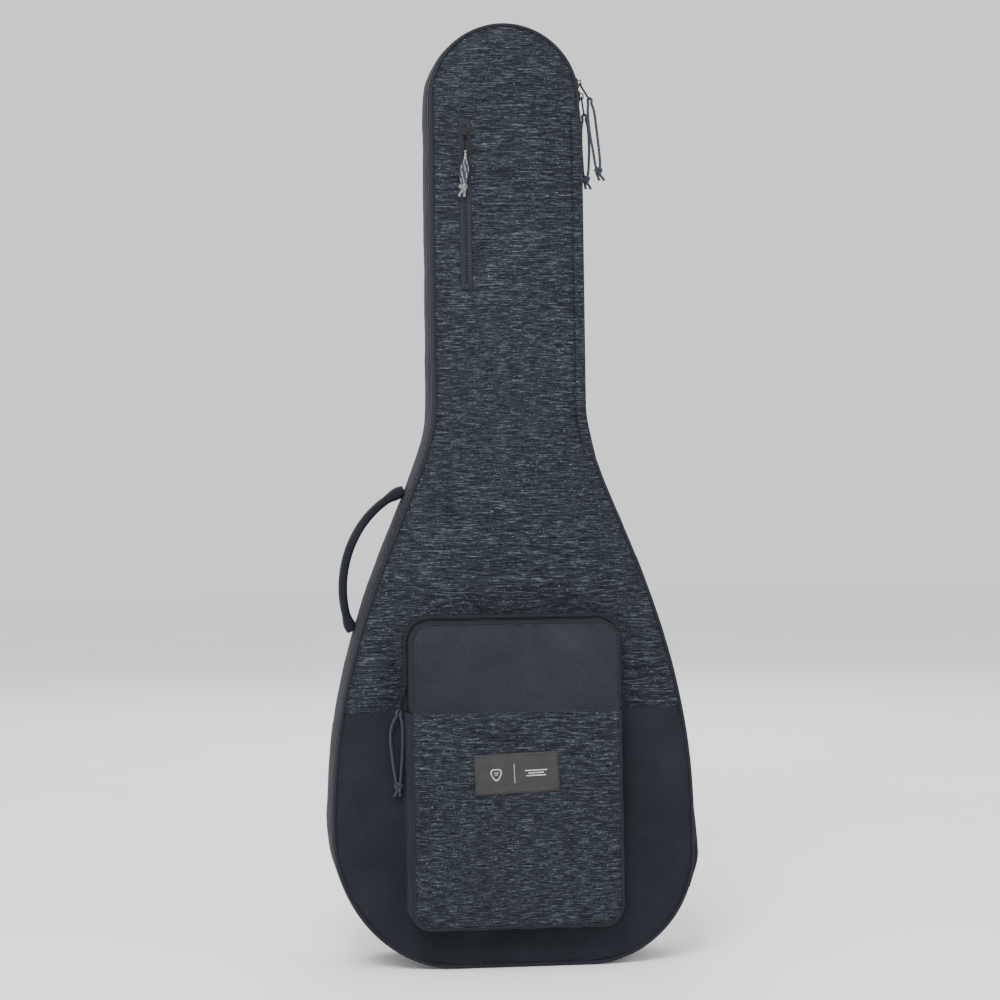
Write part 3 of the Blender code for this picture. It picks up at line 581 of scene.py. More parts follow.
def tube(name, centres, radii, sides=10):
    """A round or oval tube along a line. radii is one number, or (across, up) for each centre."""
    centres = np.array(centres, float)
    count = len(centres)
    radii = np.broadcast_to(np.array(radii, float), (count, 2))
    run = np.gradient(centres, axis=0)
    run /= np.linalg.norm(run, axis=1)[:, None]
    side = np.cross(run[0], (0.13, 0.97, 0.21))
    rings = []
    for i in range(count):
        side = side - run[i] * side.dot(run[i])
        side /= np.linalg.norm(side)
        up = np.cross(run[i], side)
        angle = np.linspace(0, 2 * math.pi, sides, endpoint=False)
        across = np.cos(angle)[:, None] * side * radii[i][0]
        rings.append(centres[i] + across + np.sin(angle)[:, None] * up * radii[i][1])
    return grid_object(name, np.array(rings), close_columns=True, caps=True)


def tooth_row(name, centres, runs, outs, width, long, tall):
    """Short round-ended bars, one at each centre: along is the bar's way, out stands off the tape."""
    ring = [(0.9, -0.55), (1.0, 0.1), (0.55, 0.9), (-0.55, 0.9), (-1.0, 0.1), (-0.9, -0.55)]
    points, faces = [], []
    for centre, run, out in zip(centres, runs, outs):
        bar = np.cross(out, run)
        base = len(points)
        for along, shrink in ((-0.5, 0.55), (-0.36, 1.0), (0.36, 1.0), (0.5, 0.55)):
            for a, b in ring:
                section = run * a * width / 2 * shrink + out * b * tall / 2 * shrink
                points.append(centre + bar * along * long + section)
        for near in (base, base + 6, base + 12):
            for k in range(6):
                j = (k + 1) % 6
                faces.append((near + k, near + j, near + 6 + j, near + 6 + k))
        faces.append(tuple(base + k for k in range(5, -1, -1)))
        faces.append(tuple(base + 18 + k for k in range(6)))
    item = mesh_object(name, points, faces)
    outward(item)
    return item


def stitch_points(line, outs, pitch=0.0032):
    """Centres, runs and outs at an even pitch along a line of points."""
    line, outs = np.array(line, float), np.array(outs, float)
    steps = np.linalg.norm(np.diff(line, axis=0), axis=1)
    walked = np.concatenate([[0], np.cumsum(steps)])
    spots = np.arange(pitch / 2, walked[-1], pitch)
    centres = np.stack([np.interp(spots, walked, line[:, k]) for k in range(3)], 1)
    ahead = np.stack([np.interp(spots + pitch * 0.2, walked, line[:, k]) for k in range(3)], 1)
    behind = np.stack([np.interp(spots - pitch * 0.2, walked, line[:, k]) for k in range(3)], 1)
    out = np.stack([np.interp(spots, walked, outs[:, k]) for k in range(3)], 1)
    run = ahead - behind
    run /= np.linalg.norm(run, axis=1)[:, None]
    out -= run * (out * run).sum(1)[:, None]
    out /= np.linalg.norm(out, axis=1)[:, None]
    return centres, run, out


def stitches(name, line, outs, body, finish="thread", pitch=0.0034, long=0.0024, thick=0.0006):
    centres, run, out = stitch_points(line, outs, pitch)
    turned = np.cross(out, run)
    item = tooth_row(name, centres, turned, out, thick, long, thick)
    return finish_piece(item, finish, body)


# ---------------------------------------------------------------- camera
def make_camera():
    """Stands 3 m in front and 6.5 degrees to the bag's left, level with its middle."""
    data = bpy.data.cameras.new("camera")
    data.lens = 91.4
    data.sensor_width = 36.0
    data.clip_start = 0.05
    item = bpy.data.objects.new("camera", data)
    bpy.context.collection.objects.link(item)
    azimuth = math.radians(-6.5)
    aim = Vector((-0.0136, -0.06, 0.5521))
    place = aim + Vector((math.sin(azimuth), -math.cos(azimuth), 0.012)) * 3.0
    look = (aim - place).normalized()
    turn = look.to_track_quat("-Z", "Y").to_matrix().to_4x4()
    roll = Matrix.Rotation(math.radians(-0.60), 4, "Z")
    item.matrix_world = Matrix.Translation(place) @ turn @ roll
    bpy.context.scene.camera = item


# ---------------------------------------------------------------- cords
CORD = 0.0032
BRAID = 0.0034
KNOT = (0.0050, 0.0042, 0.0056)
EYES = {
    "main_1": (0.10462, -0.01824, 1.03017),
    "main_2": (0.09768, -0.01874, 1.01058),
    "pocket": (-0.13674, -0.06674, 0.30365),
    "neck": (-0.0485, -0.04182, 0.96346),
}
# Each loop goes from the pull's eye down to its knot and back: metres from the eye.
LOOPS = {
    "main_1": [
        (-0.0018, 0, -0.0030), (-0.0026, -0.0015, -0.016), (-0.0006, -0.003, -0.040),
        (0.0032, -0.003, -0.062), (0.0056, -0.003, -0.0775), (0.0070, -0.003, -0.0812),
        (0.0092, -0.003, -0.0820), (0.0110, -0.003, -0.0800), (0.0114, -0.003, -0.0765),
        (0.0104, -0.003, -0.062), (0.0078, -0.003, -0.038), (0.0050, -0.0015, -0.014),
        (0.0018, 0, -0.0030),
    ],
    "main_2": [
        (-0.0018, 0, -0.0030), (-0.0034, 0.0015, -0.016), (-0.0032, 0.003, -0.038),
        (-0.0022, 0.003, -0.056), (-0.0014, 0.003, -0.0675), (-0.0004, 0.003, -0.0708),
        (0.0018, 0.003, -0.0720), (0.0038, 0.003, -0.0706), (0.0046, 0.003, -0.0670),
        (0.0054, 0.003, -0.056), (0.0060, 0.003, -0.036), (0.0046, 0.0015, -0.014),
        (0.0018, 0, -0.0030),
    ],
    "pocket": [
        (-0.0018, 0, -0.0030), (-0.0078, -0.001, -0.014), (-0.0102, -0.001, -0.030),
        (-0.0076, -0.001, -0.058), (-0.0046, 0, -0.0795), (-0.0034, 0, -0.0832),
        (-0.0012, 0, -0.0842), (0.0008, 0, -0.0826), (0.0014, 0, -0.0790),
        (0.0030, -0.001, -0.058), (0.0042, -0.001, -0.034), (0.0038, -0.001, -0.015),
        (0.0018, 0, -0.0030),
    ],
}
NECK_BRAID = [
    (0, 0, -0.0030), (-0.0008, -0.0014, -0.012),
    (-0.0020, -0.0024, -0.026), (-0.0034, -0.0028, -0.0395),
]
BRAID_LENS = (0.0044, 0.0028)
BRAID_STRANDS = 5
TAILS = {"main_1": (0.004, -0.001), "main_2": (0.003, 0.001), "pocket": (-0.0015, 0.0)}


def smooth_route(points, spacing):
    """Points at an even spacing on a Catmull-Rom curve through the route's own points."""
    points = [Vector(p) for p in points]
    padded = [points[0] * 2 - points[1]] + points + [points[-1] * 2 - points[-2]]
    dense = []
    for i in range(1, len(padded) - 2):
        p0, p1, p2, p3 = padded[i - 1:i + 3]
        for j in range(12):
            t = j / 12
            dense.append(
                (p1 * 2 + (p2 - p0) * t + (p0 * 2 - p1 * 5 + p2 * 4 - p3) * t * t
                 + (p1 * 3 - p0 - p2 * 3 + p3) * t ** 3) / 2
            )
    dense.append(points[-1])
    walked = np.concatenate([[0], np.cumsum([(b - a).length for a, b in zip(dense, dense[1:])])])
    spots = np.linspace(0, walked[-1], max(3, round(walked[-1] / spacing)) + 1)
    line = np.array([tuple(p) for p in dense])
    return np.stack([np.interp(spots, walked, line[:, k]) for k in range(3)], 1), float(walked[-1])


def cord_curve(name, finish, line, diameter):
    curve = bpy.data.curves.new(name, "CURVE")
    curve.dimensions = "3D"
    curve.bevel_depth = diameter / 2
    curve.bevel_resolution = 3
    curve.use_fill_caps = True
    spline = curve.splines.new("POLY")
    spline.points.add(len(line) - 1)
    for point, spot in zip(spline.points, line):
        point.co = (*spot, 1.0)
    item = bpy.data.objects.new(name, curve)
    bpy.context.collection.objects.link(item)
    curve.materials.append(MATERIALS[finish])
    return item


def knot_mesh(name, centre, tail):
    """An overhand knot with two short tails, as one mesh."""
    t = np.linspace(0, 2 * math.pi, 61)
    x = (np.sin(t) + 2 * np.sin(2 * t)) / 3 * KNOT[0] * 0.78
    y = np.sin(3 * t) * KNOT[1] * 0.45
    z = (np.cos(t) - 2 * np.cos(2 * t)) / 3 * KNOT[2] * 0.78
    lump = tube(name, np.stack([x, y, z], 1) + np.array(centre), 0.00185, 10)
    ends = [lump]
    for side in (-1, 1):
        start = Vector(centre) + Vector((side * 0.0010, side * 0.0004, -KNOT[2] * 0.6))
        far = Vector((tail[0] + side * 0.0020, tail[1], -0.0075))
        middle = start + far * 0.5 + Vector((side * 0.0006, 0, 0))
        line, _ = smooth_route([start, middle, start + far], 0.0012)
        radii = np.full((len(line), 2), CORD / 2)
        radii[-2:] *= np.array([[1.12], [1.20]])
        ends.append(tube(name + "_tail", line, radii, 10))
    return joined(ends)


def hitch(name, eye, way, radius):
    """The turn of cord that passes through the pull's ring, between the two strands."""
    reach = Vector(way) * (radius + 0.0007)
    side = Vector((0.0018, 0, 0)) if abs(way[0]) else Vector((0, 0, 0))
    spots = [
        -side * 0.9 - reach * 0.1 + Vector((0, 0, -0.0042)), -reach + Vector((0, 0, -0.0012)),
        -reach * 0.9 + Vector((0, 0, 0.0012)), Vector((0, 0, 0.0028)),
        reach * 0.9 + Vector((0, 0, 0.0012)), reach + Vector((0, 0, -0.0012)),
        side * 0.9 + reach * 0.1 + Vector((0, 0, -0.0042)),
    ]
    line, _ = smooth_route([Vector(eye) + p for p in spots], 0.0008)
    return tube(name, line, radius, 10)


def make_loop(which, body):
    eye = Vector(EYES[which])
    route = [eye + Vector(p) for p in LOOPS[which]]
    line, length = smooth_route(route, CORD * 0.5)
    cord = cord_curve(body + "_cord_look", "cord", line, CORD)
    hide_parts(body + "_cord")
    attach(cord, body)
    lowest = min(route, key=lambda p: p.z)
    knot = knot_mesh(body + "_knot_look", lowest - Vector((0, 0, 0.0035)), TAILS[which])
    knot = joined([knot, hitch(body + "_hitch", EYES[which], (1, 0, 0), CORD / 2)])
    finish_piece(knot, "cord", body, [body + "_knot"])


def make_neck_braid():
    eye = Vector(EYES["neck"])
    line, length = smooth_route([eye + Vector(p) for p in NECK_BRAID], 0.0016)
    cord = cord_curve("neck_pull_braid_look", "braided_cord", line, BRAID)
    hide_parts("neck_pull_braid")
    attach(cord, "neck_pull")
    loop = hitch("neck_braid_hitch", EYES["neck"], (0, 1, 0), 0.0013)
    finish_piece(loop, "braided_cord", "neck_pull")
    t = np.linspace(0, 1, 40)
    shares = np.linspace(0, 1, len(line))
    middle = np.stack([np.interp(t * 0.88 + 0.10, shares, line[:, c]) for c in range(3)], 1)
    swell = 0.16 + 0.84 * np.sin(math.pi * t) ** 0.8
    for way, finish in ((1, "pale_cord"), (-1, "cord")):
        strands = []
        for k in range(BRAID_STRANDS):
            spots = middle.copy()
            turn = way * (t * 2.6 + 2 * math.pi * k / BRAID_STRANDS)
            spots[:, 0] += BRAID_LENS[0] * swell * np.cos(turn)
            spots[:, 1] += BRAID_LENS[1] * swell * np.sin(turn)
            strands.append(tube("strand", spots, 0.0011, 8))
        woven = joined(strands)
        woven.name = "neck_braid_strands_" + finish
        finish_piece(woven, finish, "neck_pull")
    fullness = 0.25 + 0.75 * np.sin(np.linspace(0.1, math.pi - 0.1, len(line) - 3))
    core = tube("neck_braid_core", line[2:-1], np.outer(fullness, BRAID_LENS), 16)
    finish_piece(core, "cord", "neck_pull")
    knot = knot_mesh("neck_braid_knot", Vector(line[-1]) - Vector((0, 0, 0.0015)), (-0.002, 0))
    finish_piece(knot, "pale_cord", "neck_pull")


# ---------------------------------------------------------------- cloth
CLOTH_FRAMES = 18
CLOTH_STIFFNESS = 12.0


def settle(item, pinned, slack, pressure, cap):
    """Lets cloth with some slack swell against its pinned edges, and keeps each point within a cap."""
    before = np.array([v.co[:] for v in item.data.vertices])
    group = item.vertex_groups.new(name="pinned")
    group.add([int(i) for i in pinned], 1.0, "REPLACE")
    cloth = item.modifiers.new("cloth", "CLOTH")
    settings = cloth.settings
    settings.quality = 5
    settings.mass = 0.35
    settings.tension_stiffness = CLOTH_STIFFNESS
    settings.compression_stiffness = CLOTH_STIFFNESS
    settings.shear_stiffness = CLOTH_STIFFNESS * 0.6
    settings.bending_stiffness = CLOTH_STIFFNESS * 0.5
    settings.air_damping = 3.0
    settings.use_pressure = True
    settings.uniform_pressure_force = pressure
    settings.shrink_min = -slack
    settings.vertex_group_mass = "pinned"
    settings.pin_stiffness = 1.0
    settings.effector_weights.gravity = 0.0
    cloth.collision_settings.use_collision = False
    cloth.point_cache.frame_start = 1
    cloth.point_cache.frame_end = CLOTH_FRAMES
    scene = bpy.context.scene
    for step in range(1, CLOTH_FRAMES + 1):
        scene.frame_set(step)
    graph = bpy.context.evaluated_depsgraph_get()
    mesh = item.evaluated_get(graph).to_mesh()
    after = np.array([v.co[:] for v in mesh.vertices])
    item.evaluated_get(graph).to_mesh_clear()
    item.modifiers.clear()
    item.vertex_groups.clear()
    scene.frame_set(1)
    moved = after - before
    length = np.linalg.norm(moved, axis=1)
    share = cap * np.tanh(length / cap) / np.maximum(length, 1e-9)
    item.data.vertices.foreach_set("co", (before + moved * share[:, None]).ravel())
    item.data.update()


def even_out(item, rounds):
    """Softens the cloth's smallest creases."""
    work = bmesh.new()
    work.from_mesh(item.data)
    inner = [v for v in work.verts if not v.is_boundary]
    for _ in range(rounds):
        bmesh.ops.smooth_vert(
            work, verts=inner, factor=0.5, use_axis_x=True, use_axis_y=True, use_axis_z=True
        )
    work.to_mesh(item.data)
    work.free()


# ---------------------------------------------------------------- lid
LID_INSET = 0.0040
OUTLINE_TREE = distance_tree(OUTLINE)
POCKET_TREE = distance_tree(POCKET)


def soft_step(value, low, high):
    t = np.clip((value - low) / (high - low), 0, 1)
    return t * t * (3 - 2 * t)


def off_pocket(x, z):
    """How far outside the pocket's box a place on the lid is."""
    return np.maximum(np.abs(x) - POCKET_HALF_WIDTH, np.maximum(z - POCKET_TOP, POCKET_FOOT - z))


def lid_rise(x, z):
    """How far the lid's face stands off its flat plane, outwards."""
    d = distances(OUTLINE_TREE, x, z)
    rise = 0.0052 * (1 - np.exp(-np.maximum(d - LID_INSET, 0) / 0.016)) - 0.0004
    to_pocket = off_pocket(x, z)
    rise = rise * soft_step(to_pocket, 0.001, 0.045)
    centre = (NECK_ZIP_LOW.x + NECK_ZIP_HIGH.x) / 2
    across = np.abs(x - centre) - 0.007
    along = np.maximum(z - NECK_ZIP_HIGH.z, NECK_ZIP_LOW.z - z)
    to_zip = np.hypot(np.maximum(across, 0), np.maximum(along, 0))
    rise = rise * (0.06 + 0.94 * soft_step(to_zip, 0.0005, 0.022))
    rise = rise - 0.0016 * np.exp(-((z - SEAM_HEIGHT) / 0.005) ** 2) * soft_step(to_pocket, 0.0, 0.01)
    slow = noise_grid(x, z, 0.085, 0.055, 3.1) * 0.0011 + noise_grid(x, z, 0.035, 0.022, 7.7) * 0.0004
    edge_puckers = noise_grid(x, z, 0.050, 0.012, 11.3) * 0.0008 * np.exp(-d / 0.02)
    return rise + (slow + edge_puckers) * soft_step(d, 0.004, 0.02) * soft_step(to_pocket, 0.0, 0.03)


def make_lid_cover():
    """The lid's padded face, blown up as cloth between its piping, seam, pocket and neck zip."""
    columns = 72
    x_low, z_low = face_grid(OUTLINE, LID_INSET, -1, SEAM_HEIGHT, 64, columns, 0.75)
    x_up, z_up = face_grid(OUTLINE, LID_INSET, SEAM_HEIGHT, 9, 164, columns, 0.75)
    x = np.vstack([x_low, x_up[1:]])
    z = np.vstack([z_low, z_up[1:]])
    y = front(z) - lid_rise(x, z)
    points = np.stack([x, y, z], 2)
    item = grid_object("lid_cover", points)
    d = distances(OUTLINE_TREE, x, z).ravel()
    to_pocket = off_pocket(x, z).ravel()
    centre = (NECK_ZIP_LOW.x + NECK_ZIP_HIGH.x) / 2
    in_zip = (np.abs(x - centre) < 0.0105) & (z > NECK_ZIP_LOW.z - 0.004) & (z < NECK_ZIP_HIGH.z + 0.004)
    seam = np.abs(z - SEAM_HEIGHT).ravel() < 0.0016
    rim = np.zeros(x.shape, bool)
    rim[[0, -1]] = True
    rim[:, [0, -1]] = True
    edge = (d < LID_INSET + 0.0012) | rim.ravel() | seam
    pinned = np.flatnonzero(edge | (to_pocket < 0.002) | in_zip.ravel())
    settle(item, pinned, 0.012, 3.0, 0.0042)
    even_out(item, 2)
    found = np.array([v.co[:] for v in item.data.vertices]).reshape(x.shape + (3,))
    bpy.data.objects.remove(item)
    split = len(z_low) - 1
    lower = grid_object("lid_cover_lower", found[:split + 1])
    finish_piece(lower, "plain_fabric", "lid", ["lid_lower_panel", "lid_foam"])
    upper = grid_object("lid_cover_upper", found[split:])
    finish_piece(upper, "woven_fabric", "lid", ["lid_upper_panel"])
    return found


class Surface:
    """Finds how far forward a grid's surface lies at a place on the lid."""

    def __init__(self, grid):
        rows, columns = grid.shape[:2]
        faces = grid_faces(rows, columns).tolist()
        self.tree = BVHTree.FromPolygons([tuple(map(float, p)) for p in grid.reshape(-1, 3)], faces)

    def at(self, x, z, off=0.0):
        hit, normal, _, _ = self.tree.ray_cast(Vector((x, -0.4, z)), Vector((0, 1, 0)))
        if hit is None:
            return Vector((x, front(z) - off, z)), Vector((0, -1, 0))
        if normal.y > 0:
            normal = -normal
        return hit + normal * off, normal


def stitched_line(name, surface, points, body, off=0.0003):
    found = [surface.at(x, z, off) for x, z in points]
    line = np.array([tuple(p) for p, _ in found])
    outs = np.array([tuple(n) for _, n in found])
    return stitches(name, line, outs, body, "thread", 0.0036, 0.0025)


def make_lid_trim(lid_surface):
    bead_wobble = noise_grid(OUTLINE[:, 0], OUTLINE[:, 1], 0.04, 0.04, 2.2)
    inset = 0.0022 + bead_wobble * 0.0003
    x = OUTLINE[:, 0] - OUTLINE[:, 2] * inset
    z = OUTLINE[:, 1] - OUTLINE[:, 3] * inset
    centres = np.stack([x, front(z, 0.0003), z], 1)
    piping = closed_tube("lid_piping_look", centres, OUTLINE, PIPING_RADIUS)
    finish_piece(piping, "binding", "lid", ["lid_piping"])

    tape = ribbon("main_zip_tape_lid_look", ZIPPED, [0.0014, 0.0003, 0.0000, 0.0006, 0.0012],
                  [0.0012, 0.0030, 0.0070, 0.0110, 0.0134])
    finish_piece(tape, "zip_tape", "lid", ["main_zip_tape_lid"])
    zip_line("lid", 0.0136, -1)

    wrap = stretch(OUTLINE, (1, 0.600), (1, ZIP_END_HIGH - 0.004))
    insets = [0.0096, 0.0062, 0.0028, -0.0004, -0.0026, -0.0034, -0.0036, -0.0030]
    behinds = [-0.0046, -0.0043, -0.0034, -0.0018, 0.0010, 0.0050, 0.0095, 0.0140]
    rounded = ribbon("neck_edge_wrap", wrap, insets, behinds)
    soften_ends(rounded, len(wrap), len(insets), 14)
    finish_piece(rounded, "woven_fabric", "lid")
    side = stretch(OUTLINE, (1, 0.610), (1, ZIP_END_HIGH - 0.012))
    stitched_line("neck_edge_stitch", lid_surface, inset_line(side, 0.0098), "lid", 0.0004)

    right, left, _, _ = side_edges(OUTLINE, 0.010)
    height = SEAM_HEIGHT + 0.0042
    for part, low, high in (
        ("left", left(height), -POCKET_HALF_WIDTH - 0.002),
        ("right", POCKET_HALF_WIDTH + 0.002, right(height)),
    ):
        line = [(low + (high - low) * i / 40, height) for i in range(41)]
        stitched_line("seam_stitch_upper_" + part, lid_surface, line, "lid")


def inset_line(stations, inset):
    return [(r[0] - r[2] * inset, r[1] - r[3] * inset) for r in stations]


def soften_ends(item, rows, columns, count):
    """Sinks a strip's two ends so that it grows out of the surface it wraps."""
    points = np.array([v.co[:] for v in item.data.vertices]).reshape(rows, columns, 3)
    for i in range(count):
        share = (i + 0.5) / count
        drop = 0.0034 * (1 - share) ** 2
        for row in (i, rows - 1 - i):
            points[row, :, 1] += drop
            points[row, :, 0] -= drop * 0.6
    item.data.vertices.foreach_set("co", points.ravel())
    item.data.update()


def closed_tube(name, centres, stations, radius):
    """A round bead on a closed line, its cross-section set by the outline's normal and the depth."""
    angle = np.linspace(0, 2 * math.pi, 10, endpoint=False)
    out = normals(stations)
    rings = (
        centres[:, None]
        + out[:, None] * (np.cos(angle) * radius)[None, :, None]
        + np.array([0, 1, 0]) * (np.sin(angle) * radius)[None, :, None]
    )
    return grid_object(name, rings, close_rows=True, close_columns=True, flip=True)


def zip_line(body, behind, way):
    """The coil on one side of the main zip. Way is -1 for the lid's side and 1 for the shell's."""
    x = ZIPPED[:, 0] + ZIPPED[:, 2] * 0.0004
    z = ZIPPED[:, 1] + ZIPPED[:, 3] * 0.0004
    line = np.stack([x, front(z, behind), z], 1)
    centres, run, out = stitch_points(line, normals(ZIPPED), 0.0021)
    sideways = np.cross(out, run)
    sideways *= np.sign(sideways[:, 1:2]) * way
    name = f"main_zip_coil_{body}"
    teeth = tooth_row(name, centres + sideways * 0.0010, run, out, 0.00115, 0.0030, 0.0017)
    finish_piece(teeth, "coil", body)


def make_lid_lining():
    """Plush lining inside the lid, with its rolled rim."""
    x, z = face_grid(OUTLINE, 0.0130, -1, 9, 120, 44, 0.7)
    d = distances(OUTLINE_TREE, x, z)
    puff = 0.0010 * (1 - np.exp(-np.maximum(d - 0.013, 0) / 0.02))
    puff = puff + noise_grid(x, z, 0.05, 0.05, 5.0) * 0.0003
    item = grid_object("lid_lining_look", np.stack([x, front(z, 0.0137) + puff, z], 2), flip=True)
    finish_piece(item, "lining", "lid", ["lid_lining"])
    rim = ribbon("lid_lining_rim", OUTLINE, [0.0008, 0.0030, 0.0070, 0.0140, 0.0200],
                 [0.0120, 0.0134, 0.0138, 0.0137, 0.0142], closed=True, flip=True)
    finish_piece(rim, "lining", "lid")


# ---------------------------------------------------------------- shell
def gusset_bulge(stations, amount):
    """Fullness of the gusset's side, none where the bag stands on its base."""
    upright = np.clip(1 + stations[:, 3] * 1.15, 0, 1)
    return amount * upright


def gusset_cover(name, stations, finish, replaced, seed, amount=0.0028):
    columns = 14
    across = np.linspace(0, 1, columns)
    x, z = stations[:, 0], stations[:, 1]
    start = front(z, SHELL_COVER_START - 0.0004)
    rear = BACK - 0.0020
    full = gusset_bulge(stations, amount)[:, None] * np.sin(math.pi * across) ** 0.7
    y = start[:, None] * (1 - across) + rear * across
    walked = walked_along(stations)
    gate = np.clip(1 + stations[:, 3] * 1.15, 0, 1)[:, None]
    ripple = noise_grid(walked[:, None] + 0 * across, y, 0.030, 0.080, seed) * 0.0011
    fine = noise_grid(walked[:, None] + 0 * across, y, 0.011, 0.050, seed + 4) * 0.0004
    out = full + (ripple + fine) * gate * np.sin(math.pi * across) ** 0.5
    out[:, 0] -= 0.0006
    out[:, -1] -= 0.0014
    px = x[:, None] + stations[:, 2, None] * out
    pz = np.maximum(z[:, None] + stations[:, 3, None] * out, 0.0)
    item = grid_object(name, np.stack([px, y, pz], 2))
    finish_piece(item, finish, "shell", replaced)
    return item


def make_gusset():
    low = 0.0016
    split = HEAD_CENTRE - 0.010
    hinge_side = stretch(OUTLINE, (1, low), (1, split))
    zip_side = stretch(OUTLINE, (1, split), (-1, low))
    base = stretch(OUTLINE, (-1, low), (1, low))
    gusset_cover("gusset_hinge_side", hinge_side, "plain_fabric",
                 ["gusset_cover_hinge_side", "gusset_foam_right"], 1.3, 0.0036)
    gusset_cover("gusset_zip_side", zip_side, "plain_fabric",
                 ["gusset_cover_zip_side", "gusset_foam_left", "gusset_foam_head"], 6.1)
    gusset_cover("gusset_base", base, "plain_fabric", ["gusset_cover_base", "gusset_foam_base"], 9.4)

    tape = ribbon("main_zip_tape_shell_look", ZIPPED, [0.0012, 0.0006, 0.0000, 0.0002, 0.0008],
                  [0.0146, 0.0170, 0.0210, 0.0250, 0.0276])
    finish_piece(tape, "zip_tape", "shell", ["main_zip_tape_shell"])
    zip_line("shell", 0.0144, 1)
    ones = np.ones((len(ZIPPED), 1))
    line = swept_points(ZIPPED, ones * -0.0003, ones * 0.0258)[:, 0]
    stitches("gusset_edge_stitch", line, normals(ZIPPED), "shell")


def make_hinge_gore():
    """The fabric strip that the lid turns on, curving out between the shell and the lid."""
    stations = HINGED
    columns = 12
    across = np.linspace(0, 1, columns)
    behind = 0.0272 * (1 - across) + 0.0006 * across
    walked = walked_along(stations)
    lumps = noise_grid(walked[:, None] + 0 * across, behind + 0 * walked[:, None], 0.020, 0.090, 4.4)
    fold = np.sin(math.pi * across)
    low_swell = np.exp(-(((stations[:, 1] - 0.140) / 0.034) ** 2))
    shoulder = np.exp(-(((stations[:, 1] - 0.545) / 0.060) ** 2))
    out = (0.0010 + 0.0048 * low_swell[:, None] + (0.0008 + 0.0014 * shoulder[:, None]) * lumps) * fold
    out[:, -1] -= 0.0014
    px = stations[:, 0, None] + stations[:, 2, None] * out
    pz = stations[:, 1, None] + stations[:, 3, None] * out
    item = grid_object("hinge_gore", np.stack([px, front(pz, behind), pz], 2))
    finish_piece(item, "plain_fabric", None, ["hinge_strip"])
    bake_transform(item)


def make_zip_end_tab():
    """A folded patch of gusset fabric sewn over the main zip's lower end. It stands out in a pucker."""
    stations = stretch(OUTLINE, (1, 0.088), (1, ZIP_END_LOW + 0.006))
    rows, columns = len(stations), 12
    across = np.linspace(0, 1, columns)
    along = np.linspace(0, 1, rows)
    behind = 0.0020 + 0.0300 * across
    lengthwise = (np.sin(math.pi * np.clip(along * 0.62, 0, 1)) ** 1.5)[:, None]
    swell = lengthwise * np.sin(math.pi * across) ** 0.6
    down, over = along[:, None] * 0.05 + 0 * across, behind + 0 * along[:, None]
    lumps = noise_grid(down, over, 0.012, 0.03, 5.7) * 0.0006
    out = 0.0009 + 0.0058 * swell + lumps * np.sin(math.pi * across)
    px = stations[:, 0, None] + stations[:, 2, None] * out
    pz = stations[:, 1, None] + stations[:, 3, None] * out
    item = grid_object("zip_end_tab", np.stack([px, front(pz, behind), pz], 2))
    baked(thicken(item, 0.0010, -1.0))
    finish_piece(item, "plain_fabric", "shell")


QUILT_LINES = (
    (0.115, 0.25), (0.235, 0.25), (0.355, 0.25), (0.475, 0.25),
    (NECK_FOOT + 0.060, 0.0), (NECK_FOOT + 0.160, 0.0), (NECK_FOOT + 0.260, 0.0),
)
RIGHT_SIDE = OUTLINE[(OUTLINE[:, 0] > 0) & (OUTLINE[:, 1] < HEAD_CENTRE)]
RIGHT_SIDE = RIGHT_SIDE[np.argsort(RIGHT_SIDE[:, 1])]
SIDE_HEIGHTS = RIGHT_SIDE[:, 1]
SIDE_WIDTHS = RIGHT_SIDE[:, 0] - 0.012


def make_back():
    """Quilted back panel under its piping."""
    x, z = face_grid(OUTLINE, LID_INSET, -1, 9, 190, 70, 0.75)
    d = distances(OUTLINE_TREE, x, z)
    rise = 0.0026 * (1 - np.exp(-np.maximum(d - LID_INSET, 0) / 0.012))
    for height, slope in QUILT_LINES:
        away = np.abs(z - height - slope * np.abs(x))
        rise = rise - 0.0030 * np.exp(-away / 0.0060) * soft_step(d, 0.006, 0.018)
    rise = rise + noise_grid(x, z, 0.06, 0.045, 8.2) * 0.0006 * soft_step(d, 0.004, 0.02)
    item = grid_object("back_panel_look", np.stack([x, BACK - 0.0008 + rise, z], 2), flip=True)
    finish_piece(item, "plain_fabric", "shell", ["back_panel", "back_foam"])
    across = np.linspace(-BOUT_HALF_WIDTH, BOUT_HALF_WIDTH, 240)
    for k, (height, slope) in enumerate(QUILT_LINES):
        line_z = height + slope * np.abs(across)
        inside = distances(OUTLINE_TREE, across, line_z) > 0.012
        inside &= np.abs(across) < np.interp(line_z, SIDE_HEIGHTS, SIDE_WIDTHS)
        line = np.stack([across, 0 * across + BACK - 0.0006, line_z], 1)[inside]
        stitches(f"back_quilt_stitch_{k}", line, [(0, 1, 0)] * len(line), "shell")
    inset = 0.0022
    px = OUTLINE[:, 0] - OUTLINE[:, 2] * inset
    pz = OUTLINE[:, 1] - OUTLINE[:, 3] * inset
    piping = closed_tube("back_piping_look", np.stack([px, BACK + 0 * px, pz], 1), OUTLINE, PIPING_RADIUS)
    finish_piece(piping, "binding", "shell", ["back_piping"])


